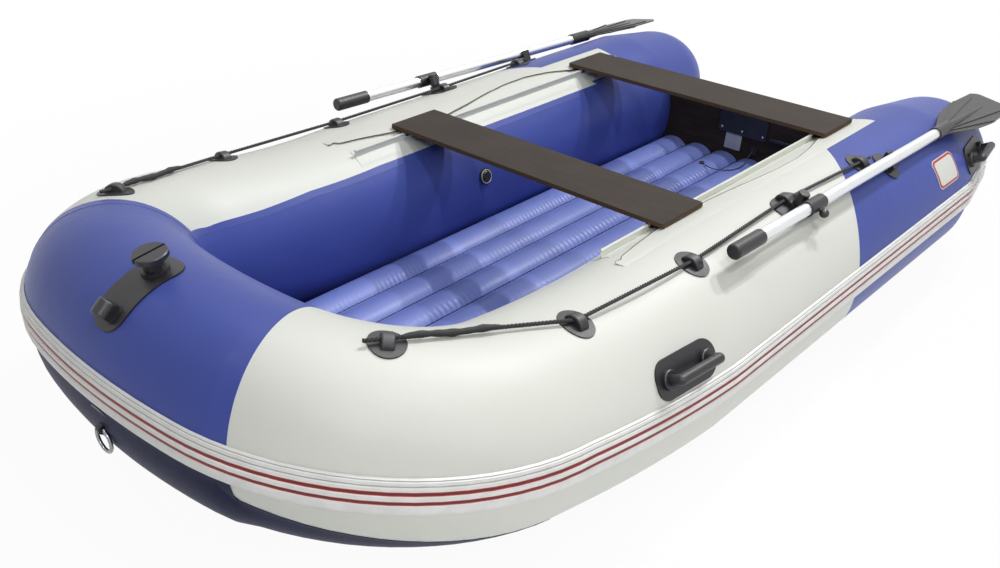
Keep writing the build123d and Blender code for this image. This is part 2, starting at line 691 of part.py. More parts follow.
def oar_blade():
    """Blade with a spine and ribs, and the socket that holds it on the shaft."""
    half = BLADE_W / 2
    shape = [(0, 17), (60, 24), (170, 0.82 * half), (280, half), (BLADE_L - 26, 0.93 * half), (BLADE_L, 0.7 * half)]
    points = [(-x, y) for x, y in shape] + [(-x, -y) for x, y in shape[::-1]]
    outline = make_face(Polyline(points, close=True))
    blade = extrude(outline, BLADE_T / 2, both=True)
    blade = fillet(blade.edges().filter_by(Axis.Z).group_by(Axis.X)[0], 20)
    room = extrude(outline, 2 * BLADE_T, both=True)
    spine = Rot(0, -90, 0) * Cone(SOCKET_R - 2, 4, BLADE_L * 0.8, align=(Align.CENTER, Align.CENTER, Align.MIN))
    for side in (-1, 1):
        for turn in (7.0, 13.0):
            rib = Box(BLADE_L - 100, 4, BLADE_T + 5, align=(Align.MAX, Align.CENTER, Align.CENTER))
            blade += (Rot(0, 0, -side * turn) * Pos(-45, 0, 0) * rib) & room
    blade += spine
    socket = Rot(0, -90, 0) * Cylinder(SOCKET_R, SOCKET_L, align=(Align.CENTER, Align.CENTER, Align.MIN))
    blade = OAR_PLANE * Pos(-OAR_AFT, 0, 0) * Rot(BLADE_ROLL, 0, 0) * (blade + socket)
    return blade - along_oar(10 - OAR_AFT, -OAR_AFT - BLADE_DEPTH - SLEEVE_RUN, OAR_R + SLEEVE_RUN)


def oar_clip():
    """Pad with a rest under the oar's shaft and a lug inboard of it."""
    run = run_at_x(CLIP_X)
    oar_side = OAR_SIDE + (LOCK_X - CLIP_X) * tan(radians(OAR_SPREAD))
    angle = LOCK_ANGLE - degrees(oar_side / (TUBE_R + PIN_UP))
    pad = seated(run, angle, Ellipse(CLIP_L / 2, CLIP_W / 2), CLIP_T, 60)
    oar_up = TUBE_R + PIN_UP - (LOCK_X - CLIP_X) * tan(radians(OAR_TILT))
    under = oar_up - OAR_R - CLIP_SEAT_GAP
    inner = oar_side - OAR_R - CLIP_SEAT_GAP
    rest = Box(CLIP_REST_L, 2 * OAR_R + 6, under, align=(Align.CENTER, Align.CENTER, Align.MIN))
    lug = Pos(0, inner, 0) * Box(
        CLIP_REST_L, CLIP_LUG_T, oar_up + CLIP_LUG_UP, align=(Align.CENTER, Align.MAX, Align.MIN)
    )
    lock_turn = tube_plane(run, LOCK_ANGLE, -TUBE_R)
    return pad + (lock_turn * (Pos(0, oar_side, 0) * rest + lug) - near(run, 60, SKIN))


# ---- carry handles ----
def carry_handle(x, angle):
    """Oblong pad with two bosses and a grip bar between them."""
    outline = RectangleRounded(HANDLE_L, HANDLE_W, HANDLE_W / 2 - 6)
    bar = Rot(0, 90, 0) * Cylinder(HANDLE_GRIP_R, HANDLE_SPAN)
    handle = Pos(0, 0, HANDLE_GRIP_UP) * bar
    for side in (-1, 1):
        end = Pos(side * HANDLE_SPAN / 2, 0, 0)
        boss = Cylinder(HANDLE_BOSS_R, 30, align=(Align.CENTER, Align.CENTER, Align.CENTER))
        post = Cylinder(HANDLE_GRIP_R, HANDLE_GRIP_UP, align=(Align.CENTER, Align.CENTER, Align.MIN))
        handle += end * (chamfer(boss.edges(), 2) + post + Pos(0, 0, HANDLE_GRIP_UP) * Sphere(HANDLE_GRIP_R))
    return seated(run_at_x(x), angle, outline, HANDLE_T, HANDLE_L / 2 + 16, handle)


# ---- bow fittings ----
def bow_pad():
    """Pad over the bow that carries the bollard and the fairlead."""
    middle = (BOW_PAD_FROM + BOW_PAD_TO) / 2
    length = 2 * BOW_R * sin(radians(BOW_PAD_TO - BOW_PAD_FROM) / 2)
    return seated(0, middle, RectangleRounded(BOW_PAD_W, length, 40), BOW_PAD_T, BOW_PAD_W / 2 + 20)


def on_bow_pad(angle, shape):
    """A fitting set on the bow pad, its plane's z away from the tube."""
    lift = SKIN + BOW_PAD_T + SKIN
    return tube_plane(0, angle) * shape - near(0, 60, lift)


def bow_bollard():
    """Post with a split disc on top."""
    post = Cylinder(BOLLARD_R, 2 * BOLLARD_H) + Pos(0, 0, BOLLARD_H) * Cylinder(BOLLARD_CAP_R, BOLLARD_CAP_T)
    foot = Cylinder(BOLLARD_R + 8, 24)
    slot = Pos(0, 0, BOLLARD_H + BOLLARD_CAP_T) * Box(BOLLARD_SLOT, 3 * BOLLARD_CAP_R, 2 * BOLLARD_CAP_T + 12)
    return on_bow_pad(BOLLARD_ANGLE, chamfer(post.edges().group_by(Axis.Z)[-1], 2) + foot - slot)


def bow_fairlead():
    """Hooded eye for the anchor line."""
    eye = Rot(90, 0, 0) * Cylinder(FAIRLEAD_R, FAIRLEAD_L)
    eye = Pos(0, 0, FAIRLEAD_UP) * fillet(eye.edges(), 4)
    eye += Box(2 * FAIRLEAD_R, FAIRLEAD_L, 2 * FAIRLEAD_UP - 4)
    eye += extrude(RectangleRounded(2 * FAIRLEAD_R + 22, FAIRLEAD_L + 6, 16), BOW_PAD_T + 5, both=True)
    eye -= Pos(0, 0, FAIRLEAD_UP) * Rot(90, 0, 0) * Cylinder(FAIRLEAD_HOLE_R, 200)
    return on_bow_pad(FAIRLEAD_ANGLE, eye)


def tow_patch():
    """Round patch under the bow with the tow ring's loop."""
    loop = Box(12, 20, 27, align=(Align.CENTER, Align.CENTER, Align.MIN))
    loop = fillet(loop.edges().filter_by(Axis.X).group_by(Axis.Z)[-1], 8)
    loop -= Pos(0, 0, 17) * Rot(0, 90, 0) * Cylinder(TOW_ROD_R + 1.5, 40)
    return seated(0, TOW_ANGLE, Circle(TOW_PATCH_R), TOW_PATCH_T, TOW_PATCH_R + 16, loop)


def tow_ring():
    """Steel ring hanging in the loop of its patch."""
    hole = tube_plane(0, TOW_ANGLE, 17).origin
    return Pos(hole - Vector(0, 0, TOW_RING_R)) * Rot(0, 90, 0) * Torus(TOW_RING_R, TOW_ROD_R)


def inflation_valve():
    """Valve with its cap on the inner side of the port tube."""
    cap = Cylinder(VALVE_CAP_R, VALVE_CAP_T, align=(Align.CENTER, Align.CENTER, Align.MIN))
    return seated(run_at_x(VALVE_X), VALVE_ANGLE, Circle(VALVE_R), VALVE_T, 50, chamfer(cap.edges(), 1.5))


# ---- the boat ----
port_pieces = {
    "side_tube": side_tube(),
    "stern_cone": stern_cone(),
    "seat_rail": seat_rail(),
    "rope_guides": Compound(rope_guides()),
    "grab_line": grab_line(),
    "oarlock_base": oarlock_base(),
    "oarlock_head": oarlock_head(),
    "oar_shaft": oar_shaft(),
    "oar_grip": oar_grip(),
    "oar_collar": oar_collar(),
    "oar_blade": oar_blade(),
    "oar_clip": oar_clip(),
    "side_handle": carry_handle(SIDE_HANDLE_X, SIDE_HANDLE_ANGLE),
    "stern_handle": carry_handle(STERN_HANDLE_X, STERN_HANDLE_ANGLE),
}
front_slider, rear_slider, valve = rail_slider(FRONT_SEAT_X), rail_slider(REAR_SEAT_X), inflation_valve()
parts = {
    "bow_tube": bow_tube(),
    "rub_strake": rub_strake(),
    "bottom": bottom(),
    "keel_strip": keel_strip(),
    "keel_tube": keel_tube(),
    "floor": air_floor(),
    "transom": transom(),
    "transom_inner_plate": motor_plate(SKIN),
    "transom_outer_plate": motor_plate(-TRANSOM_T - SKIN - PLATE_T),
    "drain_valve": drain_valve(),
    "drain_plug": drain_plug(),
    "drain_tether": drain_tether(),
    "tether_tab": tether_tab(),
    "front_seat": seat(FRONT_SEAT_X),
    "front_seat_sliders": Compound([front_slider, mirrored(front_slider)]),
    "rear_seat": seat(REAR_SEAT_X),
    "rear_seat_sliders": Compound([rear_slider, mirrored(rear_slider)]),
    "bow_pad": bow_pad(),
    "bow_bollard": bow_bollard(),
    "bow_fairlead": bow_fairlead(),
    "tow_patch": tow_patch(),
    "tow_ring": tow_ring(),
    "inflation_valves": Compound([valve, mirrored(valve)]),
}
for name, shape in port_pieces.items():
    parts["port_" + name] = shape
    parts["starboard_" + name] = mirrored(shape)
for name, shape in parts.items():
    export_step(shape, "parts/" + name + ".step")
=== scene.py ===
"""Inflatable boat: the looks of its coated fabric, plywood, fittings, ropes and oars."""

import json
import logging
import math
import random
from collections.abc import Callable, Sequence
from dataclasses import dataclass, field
from enum import Enum

import bpy
from mathutils import Matrix, Vector


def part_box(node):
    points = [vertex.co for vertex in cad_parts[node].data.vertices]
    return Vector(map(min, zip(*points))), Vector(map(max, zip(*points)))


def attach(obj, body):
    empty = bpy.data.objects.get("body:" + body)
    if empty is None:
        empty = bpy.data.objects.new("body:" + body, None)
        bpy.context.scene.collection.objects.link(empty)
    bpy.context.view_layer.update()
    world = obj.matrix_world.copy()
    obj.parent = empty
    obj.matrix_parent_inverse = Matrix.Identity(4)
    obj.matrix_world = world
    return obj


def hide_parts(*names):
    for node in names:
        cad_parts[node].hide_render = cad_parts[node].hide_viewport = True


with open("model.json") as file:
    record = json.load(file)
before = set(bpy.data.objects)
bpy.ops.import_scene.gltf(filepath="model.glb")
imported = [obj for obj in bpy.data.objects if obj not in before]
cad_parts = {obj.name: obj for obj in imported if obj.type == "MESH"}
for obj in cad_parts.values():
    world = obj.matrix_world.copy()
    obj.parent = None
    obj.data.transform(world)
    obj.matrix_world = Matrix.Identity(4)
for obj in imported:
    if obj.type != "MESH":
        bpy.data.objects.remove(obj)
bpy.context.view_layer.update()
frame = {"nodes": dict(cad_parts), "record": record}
LOG = logging.getLogger("boat")
NODES = frame["nodes"]
HULL = "hull"


class Slot(str, Enum):
    """Material slots of the record."""

    BLUE = "blue_pvc"
    WHITE = "white_pvc"
    NAVY = "navy_pvc"
    STRAKE = "strake_pvc"
    RUBBER = "black_rubber"
    PLASTIC = "black_plastic"
    ROPE = "black_rope"
    PLYWOOD = "dark_plywood"
    ALUMINIUM = "aluminium"
    STEEL = "steel"


class Side(Enum):
    """Side of the boat, as the sign of Y."""

    PORT = 1
    STARBOARD = -1

    def named(self, name: str) -> str:
        """A piece's or a node's name on this side."""
        return f"{self.name.lower()}_{name}"


# ---- shader sockets -------------------------------------------------------------------------


class Sock:
    """A shader socket whose arithmetic adds Math nodes."""

    def __init__(self, nodes: "Shader", socket: bpy.types.NodeSocket) -> None:
        """Keeps the socket and the shader that it belongs to."""
        self.nodes = nodes
        self.socket = socket

    def _math(self, kind: str, *values: object) -> "Sock":
        """Adds one Math node.

        Args:
            kind: The Math operation.
            values: Sockets or numbers for its inputs.

        Returns:
            The node's result.
        """
        return self.nodes.add("ShaderNodeMath", {"operation": kind}, dict(enumerate(values)))

    def __add__(self, other: object) -> "Sock":
        """Sum."""
        return self._math("ADD", self, other)

    __radd__ = __add__

    def __sub__(self, other: object) -> "Sock":
        """Difference."""
        return self._math("SUBTRACT", self, other)

    def __mul__(self, other: object) -> "Sock":
        """Product."""
        return self._math("MULTIPLY", self, other)

    __rmul__ = __mul__

    def apply(self, kind: str, *others: object) -> "Sock":
        """Another Math operation with this socket as its first input."""
        return self._math(kind, self, *others)

    def band(self, low: float, high: float, soft: float = 0.0004) -> "Sock":
        """Mask that is 1 between two values.

        Args:
            low: Lower edge.
            high: Upper edge.
            soft: Width of each edge's blend.

        Returns:
            The mask.
        """
        rise = self.nodes.add("ShaderNodeMapRange", {}, {
            "Value": self, "From Min": low - soft / 2, "From Max": low + soft / 2})
        fall = self.nodes.add("ShaderNodeMapRange", {}, {
            "Value": self, "From Min": high + soft / 2, "From Max": high - soft / 2})
        return rise * fall


class Shader:
    """One node material with a Principled shader."""

    def __init__(self, name: str) -> None:
        """Makes an empty material of that name.

        Args:
            name: Its name.
        """
        self.material = bpy.data.materials.new(name)
        self.material.use_nodes = True
        self.tree = self.material.node_tree
        self.tree.nodes.clear()
        self.surface = self.tree.nodes.new("ShaderNodeBsdfPrincipled")
        output = self.tree.nodes.new("ShaderNodeOutputMaterial")
        self.tree.links.new(self.surface.outputs["BSDF"], output.inputs["Surface"])

    @classmethod
    def on_tree(cls, tree: bpy.types.NodeTree) -> "Shader":
        """A shader for a tree that is there already, such as a world's.

        Args:
            tree: The node tree.

        Returns:
            The shader.
        """
        shader = cls.__new__(cls)
        shader.tree = tree
        return shader

    def add(self, kind: str, settings: dict[str, object], inputs: dict[object, object],
            output: object = 0) -> Sock:
        """Adds a node.

        Args:
            kind: The node's type.
            settings: Its settings, set before its inputs.
            inputs: Values or sockets by input name or number.
            output: Name or number of the wanted output.

        Returns:
            That output.
        """
        node = self.tree.nodes.new(kind)
        for name, value in settings.items():
            if name == "stops":
                while len(node.color_ramp.elements) < len(value):
                    node.color_ramp.elements.new(0.5)
                for element, (place, colour) in zip(node.color_ramp.elements, value):
                    element.position = place
                    element.color = (*colour, 1.0)
            else:
                setattr(node, name, value)
        for name, value in inputs.items():
            self.put(node.inputs[name], value)
        return Sock(self, node.outputs[output])

    def put(self, target: bpy.types.NodeSocket, value: object) -> None:
        """Sets or links one input.

        Args:
            target: The input.
            value: A socket, a number or a colour.
        """
        if isinstance(value, Sock):
            self.tree.links.new(value.socket, target)
        elif isinstance(value, tuple) and target.type == "RGBA" and len(value) == 3:
            target.default_value = (*value, 1.0)
        else:
            target.default_value = value

    def shade(self, **inputs: object) -> bpy.types.Material:
        """Sets the Principled shader's inputs.

        Args:
            inputs: Values or sockets, with underscores for spaces in their names.

        Returns:
            The material.
        """
        for name, value in inputs.items():
            self.put(self.surface.inputs[name.replace("_", " ")], value)
        return self.material

    def place(self) -> Sock:
        """Object coordinates."""
        return self.add("ShaderNodeTexCoord", {}, {}, "Object")

    def split(self, vector: Sock) -> tuple[Sock, Sock, Sock]:
        """A vector's three parts.

        Args:
            vector: The vector.

        Returns:
            Its X, Y and Z.
        """
        node = self.tree.nodes.new("ShaderNodeSeparateXYZ")
        self.put(node.inputs[0], vector)
        return tuple(Sock(self, node.outputs[i]) for i in range(3))

    def uv(self) -> Sock:
        """The piece's own UV map."""
        return self.add("ShaderNodeUVMap", {"uv_map": "UVMap"}, {})

    def noise(self, vector: Sock, scale: float, detail: float = 3.0, rough: float = 0.5) -> Sock:
        """Noise from 0 to 1.

        Args:
            vector: Coordinates.
            scale: Waves in a metre.
            detail: Octaves.
            rough: Their roughness.

        Returns:
            The noise.
        """
        return self.add("ShaderNodeTexNoise", {}, {
            "Vector": vector, "Scale": scale, "Detail": detail, "Roughness": rough})

    def mix(self, factor: object, first: object, second: object) -> Sock:
        """Blend of two colours.

        Args:
            factor: 0 for the first, 1 for the second.
            first: Colour or socket.
            second: Colour or socket.

        Returns:
            The blended colour.
        """
        node = self.tree.nodes.new("ShaderNodeMix")
        node.data_type = "RGBA"
        self.put(node.inputs[0], factor)
        self.put(node.inputs[6], first)
        self.put(node.inputs[7], second)
        return Sock(self, node.outputs[2])

    def bump(self, height: Sock, depth: float, strength: float = 1.0) -> Sock:
        """Normal from a height.

        Args:
            height: Height from 0 to 1.
            depth: Metres that 1 stands for.
            strength: Share of the effect.

        Returns:
            The normal.
        """
        return self.add("ShaderNodeBump", {}, {"Height": height, "Distance": depth, "Strength": strength})


Colour = tuple[float, float, float]


@dataclass(frozen=True)
class CoatedFabric:
    """Coated fabric of the tubes, with its fine weave, slow mottling and slight waves."""

    name: str
    colour: Colour
    shade: Colour
    rough: float = 0.42
    gloss: float = 0.30
    weave: float = 0.007
    thread: float = 0.0016
    relief: float = 0.0016

    def material(self) -> bpy.types.Material:
        """The finish as a material.

        Returns:
            The material.
        """
        s = Shader(self.name)
        place = s.place()
        u, v, _ = s.split(s.uv())
        pitch = math.tau / self.thread
        threads = (u * pitch).apply("SINE") * (v * pitch).apply("SINE")
        slow = s.noise(place, 5.0, 4.0)
        fine = s.noise(place, 140.0, 4.0, 0.6)
        ripple = s.noise(place, 22.0, 2.0)
        tint = slow * 0.65 + fine * 0.35
        colour = s.mix(tint.apply("SMOOTH_MIN", 1.0, 0.1), self.shade, self.colour)
        height = ripple * 0.8 + threads * self.weave + fine * 0.02
        rough = self.rough + (fine - 0.5) * 0.16 + (slow - 0.5) * 0.08
        return s.shade(Base_Color=colour, Roughness=rough, Normal=s.bump(height, self.relief, 0.55),
                       Specular_IOR_Level=self.gloss)


@dataclass(frozen=True)
class Moulded:
    """Moulded rubber or plastic with a fine grain and rubbed high spots."""

    name: str
    colour: Colour
    rough: float
    grain: float = 900.0
    depth: float = 0.00025

    def material(self) -> bpy.types.Material:
        """The finish as a material.

        Returns:
            The material.
        """
        s = Shader(self.name)
        place = s.place()
        grain = s.noise(place, self.grain, 2.0)
        slow = s.noise(place, 30.0, 3.0)
        light = tuple(min(1.0, c * 1.9 + 0.006) for c in self.colour)
        colour = s.mix(slow * 0.7 + grain * 0.15, self.colour, light)
        rough = self.rough + (slow - 0.5) * 0.18 + (grain - 0.5) * 0.12
        return s.shade(Base_Color=colour, Roughness=rough, Normal=s.bump(grain, self.depth, 0.6),
                       Specular_IOR_Level=0.5)


@dataclass(frozen=True)
class Metal:
    """Drawn or cast metal with fine lines along one axis."""

    name: str
    colour: Colour
    rough: float
    stretch: tuple[float, float, float] = (2.0, 260.0, 260.0)

    def material(self) -> bpy.types.Material:
        """The finish as a material.

        Returns:
            The material.
        """
        s = Shader(self.name)
        lines = s.add("ShaderNodeMapping", {}, {"Vector": s.place(), "Scale": self.stretch})
        fine = s.noise(lines, 4.0, 4.0, 0.6)
        slow = s.noise(s.place(), 18.0, 3.0)
        dull = tuple(c * 0.82 for c in self.colour)
        colour = s.mix(fine * 0.5 + slow * 0.5, dull, self.colour)
        rough = self.rough + (fine - 0.5) * 0.2
        return s.shade(Base_Color=colour, Metallic=1.0, Roughness=rough, Normal=s.bump(fine, 0.0001, 0.3))


@dataclass(frozen=True)
class FilmPlywood:
    """Film-faced plywood: dark printed film on its faces and bare laminations on its edges."""

    name: str
    film: Colour = (0.009, 0.006, 0.0045)
    film_light: Colour = (0.062, 0.043, 0.032)
    ply: Colour = (0.17, 0.105, 0.055)
    glue: Colour = (0.05, 0.03, 0.018)
    layers: float = 3.5
    film_t: float = 0.0011
    gloss: float = 0.14

    def material(self, bottom: float, thickness: float) -> bpy.types.Material:
        """The finish as a material for a level board.

        Args:
            bottom: Height of the board's underside.
            thickness: Its thickness.

        Returns:
            The material.
        """
        s = Shader(self.name)
        place = s.place()
        _, _, z = s.split(place)
        grain = s.add("ShaderNodeMapping", {}, {"Vector": place, "Scale": (26.0, 3.0, 26.0)})
        streak = s.noise(grain, 3.2, 6.0, 0.62)
        cloud = s.noise(place, 7.0, 4.0)
        speck = s.noise(place, 210.0, 3.0, 0.7)
        film = s.mix(streak * 0.8 + cloud * 0.5 + speck * 0.5 - 0.55, self.film, self.film_light)
        layers = ((z - bottom) * (math.tau * self.layers / thickness)).apply("SINE") * 0.5 + 0.5
        wood = s.mix(layers * (0.6 + streak * 0.4), self.glue, self.ply)
        edge = z.band(bottom + self.film_t, bottom + thickness - self.film_t, 0.0003)
        side = s.add("ShaderNodeNewGeometry", {}, {}, "Normal")
        up = s.split(side)[2].apply("ABSOLUTE")
        mask = edge * up.band(-1.0, 0.5, 0.1)
        colour = s.mix(mask, film, wood)
        rough = 0.46 + streak * 0.16 + mask * 0.3
        return s.shade(Base_Color=colour, Roughness=rough, Normal=s.bump(streak, 0.0003, 0.35),
                       Specular_IOR_Level=self.gloss)


BLUE = CoatedFabric("blue_pvc", (0.066, 0.098, 0.41), (0.047, 0.071, 0.30), 0.40, 0.24)
# painted light: the floor's fabric is the tubes' blue made lighter, standing in for the lamps' light on its
# channels
LIT_DECK = CoatedFabric("deck_pvc", (0.205, 0.262, 0.66), (0.160, 0.212, 0.55), 0.36, 0.26)
WHITE = CoatedFabric("white_pvc", (0.775, 0.790, 0.735), (0.735, 0.750, 0.69), 0.46)
NAVY = CoatedFabric("navy_pvc", (0.008, 0.012, 0.050), (0.006, 0.009, 0.036), 0.5, 0.10)
STRAKE = Moulded("strake_white", (0.70, 0.70, 0.67), 0.42, 500.0, 0.0001)
STRAKE_RED = Moulded("strake_red", (0.36, 0.012, 0.010), 0.36, 500.0, 0.0001)
STRAKE_CORE = Moulded("strake_core", (0.085, 0.004, 0.005), 0.36, 500.0, 0.0001)
STRAKE_GREY = Moulded("strake_grey", (0.30, 0.30, 0.29), 0.42, 500.0, 0.0001)
RUBBER = Moulded("black_rubber", (0.007, 0.007, 0.009), 0.42)
PLASTIC = Moulded("black_plastic", (0.010, 0.010, 0.012), 0.34, 1400.0)
ROPE = Moulded("black_rope", (0.004, 0.004, 0.005), 0.72, 2600.0, 0.0006)
# painted shadow: dark finish on the skirts' free edges, standing in for the shade in the gap under them
SKIRT_EDGE_SHADOW = Moulded("cut_edge", (0.030, 0.028, 0.026), 0.6, 300.0, 0.0001)
LABEL = Moulded("pale_label", (0.34, 0.35, 0.35), 0.5, 300.0, 0.0001)
ALUMINIUM = Metal("aluminium", (0.86, 0.87, 0.89), 0.30)
STEEL = Metal("steel", (0.30, 0.31, 0.33), 0.30, (60.0, 60.0, 60.0))
PLYWOOD = FilmPlywood("dark_plywood")


# ---- the hull's shape -----------------------------------------------------------------------


@dataclass(frozen=True)
class HullForm:
    """Centreline and radius of the U of air tubes, in metres."""

    length: float = 2.860
    tube_r: float = 0.240
    bow_r: float = 0.198
    tube_y: float = 0.548
    tube_z: float = 0.254
    bow_rise: float = 0.155
    rise_power: float = 1.8
    rise_length: float = 0.882
    corner_r: float = 0.370
    front_r: float = 1.500
    strake: float = 0.0097
    cone_length: float = 0.415
    cone_lift: float = 0.3
    cone_end_r: float = 0.165
    cone_nose: float = 0.190
    cone_cap_r: float = 0.030
    port_bow_seam: float = 19.5
    starboard_bow_seam: float = 40.0
    stern_seam_x: float = -0.4969

    @property
    def bow_x(self) -> float:
        """Centreline at the bow."""
        return self.length / 2 - self.strake - self.bow_r

    @property
    def stern_x(self) -> float:
        """The cones' tips."""
        return -self.length / 2

    @property
    def front_half(self) -> float:
        """Half the arc across the bow, in radians."""
        return math.asin((self.tube_y - self.corner_r) / (self.front_r - self.corner_r))

    @property
    def corner(self) -> tuple[float, float]:
        """Plan centre of the port bow corner."""
        x = self.bow_x - self.front_r + (self.front_r - self.corner_r) * math.cos(self.front_half)
        return x, self.tube_y - self.corner_r

    @property
    def front_run(self) -> float:
        """Plan length of half the arc across the bow."""
        return self.front_half * self.front_r

    @property
    def corner_run(self) -> float:
        """Plan length of a bow corner."""
        return (math.pi / 2 - self.front_half) * self.corner_r

    @property
    def rise_x(self) -> float:
        """Where the tube starts to rise towards the bow."""
        return self.bow_x - self.rise_length

    @property
    def cone_x(self) -> float:
        """Where a side tube starts to taper to its cone."""
        return self.stern_x + self.cone_length

    def bow_seam(self, side: Side) -> float:
        """Run, from the bow, of the seam between the bow cap and one side tube."""
        return self.run_at_turn(self.port_bow_seam if side is Side.PORT else self.starboard_bow_seam)

    def run_at_turn(self, turn: float) -> float:
        """Plan distance from the bow to where the centreline faces `turn` degrees from ahead.

        Args:
            turn: Degrees from ahead.

        Returns:
            The distance.
        """
        beyond = math.radians(turn) - self.front_half
        if beyond < 0:
            return math.radians(turn) * self.front_r
        return self.front_run + beyond * self.corner_r

    def run_at_x(self, x: float) -> float:
        """Plan distance from the bow to the centreline's point at x, aft of the front arc.

        Args:
            x: The point's x.

        Returns:
            The distance.
        """
        start = self.corner[0]
        if x < start:
            return self.front_run + self.corner_run + start - x
        return self.run_at_turn(math.degrees(math.acos(min(1.0, (x - start) / self.corner_r))))

    def station(self, run: float) -> tuple[Vector, Vector, float]:
        """The tube at a plan distance from the bow.

        Args:
            run: Distance, positive to port.

        Returns:
            The centreline's point, the level outboard direction and the radius.
        """
        side = -1 if run < 0 else 1
        run = abs(run)
        corner_x, corner_y = self.corner
        if run < self.front_run:
            turn = run / self.front_r
            x = self.bow_x - self.front_r + self.front_r * math.cos(turn)
            y = self.front_r * math.sin(turn)
        elif run < self.front_run + self.corner_run:
            turn = self.front_half + (run - self.front_run) / self.corner_r
            x = corner_x + self.corner_r * math.cos(turn)
            y = corner_y + self.corner_r * math.sin(turn)
        else:
            turn = math.pi / 2
            x, y = corner_x - (run - self.front_run - self.corner_run), self.tube_y
        rise = max(0.0, (x - self.rise_x) / self.rise_length)
        z = self.tube_z + self.bow_rise * rise**self.rise_power
        radius = self.tube_r - (self.tube_r - self.bow_r) * rise
        if x < self.cone_x:
            straight = self.tube_r - (self.tube_r - self.cone_end_r) * (self.cone_x - x) / self.cone_length
            z += self.cone_lift * (self.tube_r - straight)
            full = math.sqrt(1 - (self.cone_cap_r / self.cone_end_r) ** 2)
            nose = full * max(0.0, (self.stern_x + self.cone_nose - x) / self.cone_nose)
            radius = straight * math.sqrt(max(0.0, 1 - nose**2))
        return Vector((x, side * y, z)), Vector((math.cos(turn), side * math.sin(turn), 0.0)), radius

    def surface(self, run: float, angle: float, up: float = 0.0) -> Vector:
        """Point on the tube.

        Args:
            run: Plan distance from the bow, positive to port.
            angle: Degrees above the tube's outermost line.
            up: Height above the fabric.

        Returns:
            The point.
        """
        centre, out, radius = self.station(run)
        turn = math.radians(angle)
        return centre + (out * math.cos(turn) + Vector((0, 0, math.sin(turn)))) * (radius + up)

    def frame(self, run: float, angle: float, up: float = 0.0) -> Matrix:
        """Frame that a fitting is set in: x forward along the tube, z away from it.

        Args:
            run: Plan distance from the bow, positive to port.
            angle: Degrees above the tube's outermost line.
            up: Height of its origin above the fabric.

        Returns:
            The frame.
        """
        step = 0.001 * (1 if run >= 0 else -1)
        ahead = (self.surface(run - step, angle) - self.surface(run + step, angle)).normalized()
        across = self.surface(run, angle + 0.5) - self.surface(run, angle - 0.5)
        away = across.cross(ahead).normalized() * (1 if run >= 0 else -1)
        place = Matrix((ahead, away.cross(ahead), away)).transposed().to_4x4()
        return Matrix.Translation(self.surface(run, angle, up)) @ place


FORM = HullForm()
SAME_POINT = 0.000001
UNDERSIDE = -125.0  # degrees at which a tube's section starts, under its inner side
ANGLE_GAP = 0.01  # degrees that keep its last point apart from its first
CLEAR = 0.0001  # height above the fabric that keeps a glued piece from lying in it


# ---- meshes ---------------------------------------------------------------------------------


def settle(piece: bpy.types.Object, node: str = "") -> bpy.types.Object:
    """Sets a finished piece on the hull.

    Args:
        piece: The piece, with its place in its mesh.
        node: The CAD node that it stands for, if any.

    Returns:
        The piece.
    """
    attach(piece, HULL)
    if node:
        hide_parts(node)
    LOG.info("%s rides on %s", piece.name, HULL)
    return piece


def blown_up(piece: bpy.types.Object, node: str) -> None:
    """Sets an air chamber's tight fabric on the hull, in place of its CAD node."""
    settle(piece, node)


def evenly(first: float, last: float, steps: int) -> list[float]:
    """Evenly spaced values from first to last."""
    return [first + (last - first) * i / steps for i in range(steps + 1)]


def table_value(table: Sequence[tuple[float, float]], place: float) -> float:
    """Value between the points of a table.

    Args:
        table: Places, rising or falling, each with its value.
        place: Where the value is wanted.

    Returns:
        The value, which stays the same beyond the last point.
    """
    rising = table[-1][0] > table[0][0]
    for (a, low), (b, high) in zip(table, table[1:]):
        if place <= b if rising else place >= b:
            return low + (high - low) * (place - a) / (b - a)
    return table[-1][1]


def deselect() -> None:
    """Clears the selection, in object mode."""
    if bpy.context.object and bpy.context.object.mode != "OBJECT":
        bpy.ops.object.mode_set(mode="OBJECT")
    bpy.ops.object.select_all(action="DESELECT")


def begin(name: str, add: Callable[..., object], **settings: object) -> bpy.types.Object:
    """Starts a piece from one of Blender's mesh shapes.

    Args:
        name: Its name, and its mesh's.
        add: The operator that adds the shape.
        settings: The operator's settings.

    Returns:
        The piece.
    """
    deselect()
    add(**settings)
    piece = bpy.context.object
    piece.name = piece.data.name = name
    return piece


def apply_place() -> None:
    """Moves the active object's place, turn and size into its mesh."""
    bpy.ops.object.transform_apply(location=True, rotation=True, scale=True)


def smooth(degrees: float) -> None:
    """Shades the active object smooth but for edges sharper than an angle."""
    bpy.ops.object.shade_smooth_by_angle(angle=math.radians(degrees))


